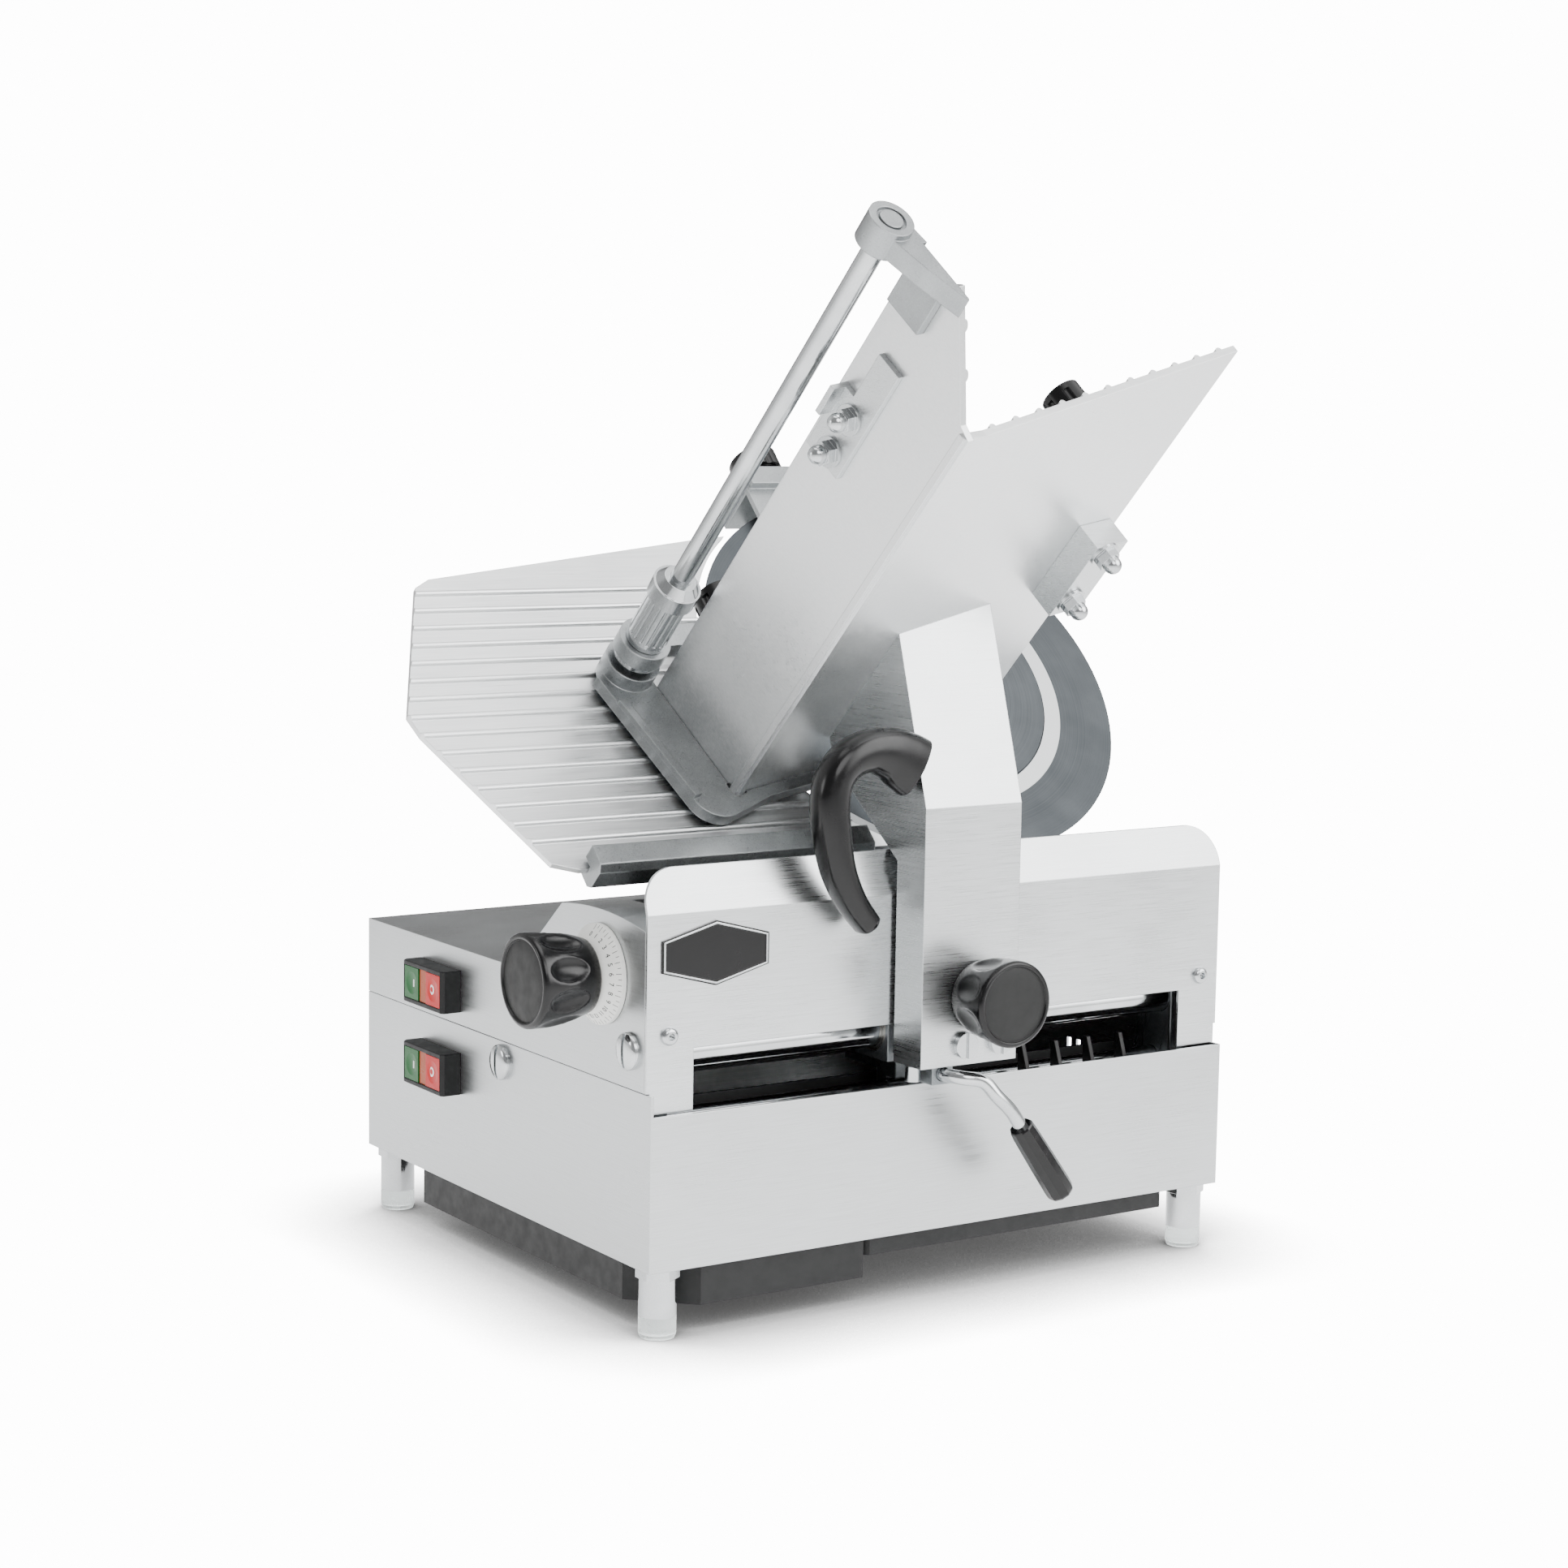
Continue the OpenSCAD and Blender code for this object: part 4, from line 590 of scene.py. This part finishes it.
# ---------- clutch lever ----------
def make_lever():
    """Bent chromed rod that hangs from its shaft, with a flat-sided grip pressed on its end."""
    pivot = Vector(joints["clutch_swing"]["pos_m"])
    grip_low, grip_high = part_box("lever_grip")
    start = Vector(((grip_low.x + grip_high.x) / 2, grip_low.y + 8 * MM, grip_high.z - 6 * MM))
    end = Vector((start.x, grip_high.y - 7 * MM, grip_low.z + 6 * MM))
    way = (end - start).normalized()
    knee = start - way * 26 * MM
    points = [pivot - X_AXIS * 13 * MM, pivot + X_AXIS * 8 * MM, pivot + Vector((19, 5, -0.5)) * MM,
              pivot + Vector((25, 17, -3)) * MM, knee + Vector((-1, -4, 1)) * MM, knee + way * 12 * MM,
              start, start + way * 8 * MM]
    line = [Vector(p) for p in through([tuple(p) for p in points], 8)]
    rod_radius = 4.6 * MM
    mesh = skin("lever_rod", [tube(line, rod_radius)])
    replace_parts(piece("lever_rod", mesh, "clutch_lever", ["hard_chrome"], 50), "lever")
    length = (end - start).length
    sides = 10
    # share of the grip's length and radius in millimetres
    profile = [(0.0, 6.0), (0.0, 7.6), (0.02, 8.2), (0.10, 8.6), (0.5, 9.2), (0.9, 9.5), (0.96, 9.2),
               (0.985, 8.4), (1.0, 6.8), (1.0, 2.0)]
    rings = [circle(radius * MM, share * length, sides) for share, radius in profile]
    mesh = skin("lever_grip_faceted", [rings])
    mesh.transform(facing(start, way))
    grip = piece("lever_grip_faceted", mesh, "clutch_lever", ["black_phenolic"], 20)
    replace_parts(grip, "lever_grip")


make_lever()


# ---------- screws ----------
def half_round(radius, flat, count):
    """D-shaped outline: the part of a circle beyond a line at distance flat."""
    radius = max(radius, flat + 0.05 * MM)
    open_angle = math.acos(flat / radius)
    return [(radius * math.cos(-open_angle + 2 * open_angle * k / (count - 1)),
             radius * math.sin(-open_angle + 2 * open_angle * k / (count - 1))) for k in range(count)]


def slotted_head(centre, axis, radius, height, slot):
    """Domed screw head with a wide screwdriver slot."""
    # the head's flat part goes buried into the sheet and ends at the slot's floor
    buried = 2 * MM
    floor = 0.42 * height
    base = [(radius * 0.4, -buried), (radius * 0.98, -buried), (radius, 0.3 * height),
            (radius * 0.97, floor), (radius * 0.4, floor)]
    bodies = [[circle(r, z, 48) for r, z in base]]
    steps = 8
    place = facing(centre, axis)
    for side in (1, -1):
        rings = []
        for k in range(steps + 1):
            a = 0.5 * math.pi * k / steps
            outline = half_round(radius * math.cos(a * 0.93), slot / 2, 25)
            z = floor + (height - floor) * math.sin(a)
            rings.append([Vector((side * px, side * py, z)) for px, py in outline])
        bodies.append(rings)
    return [[[place @ point for point in ring] for ring in rings] for rings in bodies]


def socket_head(centre, axis, radius, height):
    """Button head with a socket."""
    place = facing(centre, axis)
    buried = 1.5 * MM
    steps = 6
    rows = [(radius * 0.5, -buried), (radius, -buried), (radius, 0.2 * height)]
    for k in range(1, steps + 1):
        share = k / steps
        rows.append((radius * (1 - 0.5 * share ** 1.6), height * (0.2 + 0.8 * math.sin(math.pi / 2 * share))))
    rows += [(radius * 0.38, height), (radius * 0.36, 0.1 * height), (radius * 0.05, 0.1 * height)]
    return [[[place @ point for point in circle(r, z, 36)] for r, z in rows]]


def make_screws():
    """Two domed screws on the control side, and a button head at each lower corner of the guard."""
    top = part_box("casing_screws")[1].z
    front = wrap_low.y - 0.1 * MM
    guard_low, guard_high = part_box("slot_guard")
    heads = []
    domed = [(guard_high.x - 20 * MM, wrap_high.z + 24 * MM),
             (guard_high.x - 186 * MM, wrap_high.z - 14 * MM)]
    radius, height, slot = 12 * MM, 5.6 * MM, 3 * MM
    for x, z in domed:
        heads += slotted_head(Vector((x, front, z)), -Y_AXIS, radius, height, slot)
    inset, radius, height = 16 * MM, 6 * MM, 3.8 * MM
    for y in (guard_low.y + inset, guard_high.y - inset):
        heads += socket_head(Vector((guard_high.x, y, top - radius)), X_AXIS, radius, height)
    made = piece("casing_screw_heads", skin("casing_screw_heads", heads), "base", ["hard_chrome"], 40)
    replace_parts(made, "casing_screws")


make_screws()


# ---------- dial marks ----------
def make_dial_marks():
    """Thickness scale on the cone of the dial: a number for each millimetre, a tick for each half."""
    centre = Vector((dial_at[0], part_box("dial")[1].y, dial_at[2]))
    marks = 15
    step = math.radians(13.5)
    # the cone starts on the edge of a 3 mm flange, and rises by rise over drop of its radius
    flange, rim, rise, drop = 3 * MM, 32 * MM, 8 * MM, 11 * MM
    slope = math.hypot(rise, drop)

    def spot(angle, radius, lift):
        """Point on the cone, its clockwise and outward ways and its normal."""
        radial = Vector((math.sin(angle), 0, math.cos(angle)))
        clockwise = Vector((math.cos(angle), 0, -math.sin(angle)))
        outward = (radial * drop + Y_AXIS * rise) / slope
        normal = (radial * rise - Y_AXIS * drop) / slope
        height = flange + (rim - radius) * rise / drop
        return centre + radial * radius - Y_AXIS * height + normal * lift, clockwise, outward, normal

    ticks = []
    half_line, sunk, proud = 0.16 * MM, 0.3 * MM, 0.06 * MM
    for k in range(2 * marks + 1):
        inner = rim - (3.4 if k % 2 == 0 else 2.2) * MM
        rows = []
        for radius in (inner, rim - 0.3 * MM):
            point, clockwise, outward, normal = spot(k * step / 2, radius, 0)
            rows.append([point + clockwise * w + normal * h for w, h in
                         ((-half_line, -sunk), (half_line, -sunk), (half_line, proud), (-half_line, proud))])
        ticks.append(rows)
    piece("dial_ticks", skin("dial_ticks", ticks), "thickness_control", ["black_ink"])
    film = 0.05 * MM
    for k in range(marks + 1):
        point, clockwise, outward, normal = spot(k * step, 25.9 * MM, film)
        curve = bpy.data.curves.new("dial_number_%d" % k, "FONT")
        curve.body = str(k)
        curve.size = 4.6 * MM
        curve.align_x, curve.align_y = "CENTER", "CENTER"
        curve.extrude = film
        curve.materials.append(FINISH["black_ink"])
        made = bpy.data.objects.new("dial_number_%d" % k, curve)
        bpy.context.scene.collection.objects.link(made)
        turn = Matrix((clockwise, outward, normal)).transposed().to_4x4()
        made.matrix_world = Matrix.Translation(point) @ turn
        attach(made, "thickness_control")


make_dial_marks()


# ---------- switch marks ----------
def make_switch_marks():
    """Standard signs: a bar on the green button, a ring on the red one."""
    # the marks stand towards the switch's middle and sit on the domed button's face
    shift, face_drop, sunk, proud = 2.4 * MM, 0.65 * MM, 0.9 * MM, 0.12 * MM
    half_wide, half_tall = 0.8 * MM, 2.6 * MM
    outer, inner = 3.4 * MM, 2.0 * MM
    for level in ("upper", "lower"):
        low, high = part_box("start_button_" + level)
        centre = Vector(((low.x + high.x) / 2 + shift, low.y + face_drop, (low.z + high.z) / 2))
        bar = [[centre + Vector((x, y, z)) for x, z in ((-half_wide, -half_tall), (half_wide, -half_tall),
                                                        (half_wide, half_tall), (-half_wide, half_tall))]
               for y in (sunk, -proud)]
        name = "start_mark_" + level
        piece(name, skin(name, [bar]), "start_button_" + level, ["white_paint"])
        low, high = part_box("stop_button_" + level)
        centre = Vector(((low.x + high.x) / 2 - shift, low.y + face_drop, (low.z + high.z) / 2))
        place = facing(centre, -Y_AXIS)
        section = [(outer, -sunk), (outer, proud), (inner, proud), (inner, -sunk)]
        rings = [[place @ point for point in circle(r, z, 40)] for r, z in section]
        name = "stop_mark_" + level
        piece(name, skin(name, [rings], looped=True), "stop_button_" + level, ["white_paint"])


make_switch_marks()


# ---------- blank badge ----------
def make_badge():
    """Six-sided black plate with a bright raised border, left blank."""
    low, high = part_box("slot_guard")
    from_end, from_top = 49 * MM, 54.5 * MM
    half_wide, half_tall, half_side = 39, 20.5, 10
    centre = Vector((high.x, low.y + from_end, high.z - from_top))

    def outline(grow, x):
        """Six corners, moved outwards by grow and off the guard by x, both in millimetres."""
        wide, tall, side = (half_wide + grow) * MM, (half_tall + grow) * MM, (half_side + 0.6 * grow) * MM
        return [centre + Vector((x * MM, u, v)) for u, v in
                ((-wide, -side), (0, -tall), (wide, -side), (wide, side), (0, tall), (-wide, side))]

    field = [outline(grow, x) for grow, x in ((0, 0), (0, 1.1), (-0.5, 1.4), (-2.6, 1.4), (-3.0, 0.9))]
    piece("badge_field", skin("badge_field", [field]), "base", ["black_phenolic"], 20)
    border = [outline(grow, x) for grow, x in
              ((-1.0, 1.2), (-1.0, 1.75), (-1.3, 1.9), (-2.2, 1.9), (-2.4, 1.2))]
    piece("badge_border", skin("badge_border", [border], looped=True), "base", ["hard_chrome"], 20)


make_badge()


# ---------- softened edges ----------
def soften(names, width, angle=30):
    """Small real radii, width in millimetres, on the edges of each named node."""
    for name in names.split():
        part = nodes[name]
        part.modifiers.new("weld", "WELD").merge_threshold = 0.01 * MM
        bevel = part.modifiers.new("bevel", "BEVEL")
        bevel.width = width * MM
        bevel.segments = 2
        bevel.limit_method = "ANGLE"
        bevel.angle_limit = math.radians(angle)
        bevel.harden_normals = False


soften("switch_housings", 0.8)
soften("knife_head gauge_guide slide_block arm_foot rod_supports", 1.0)
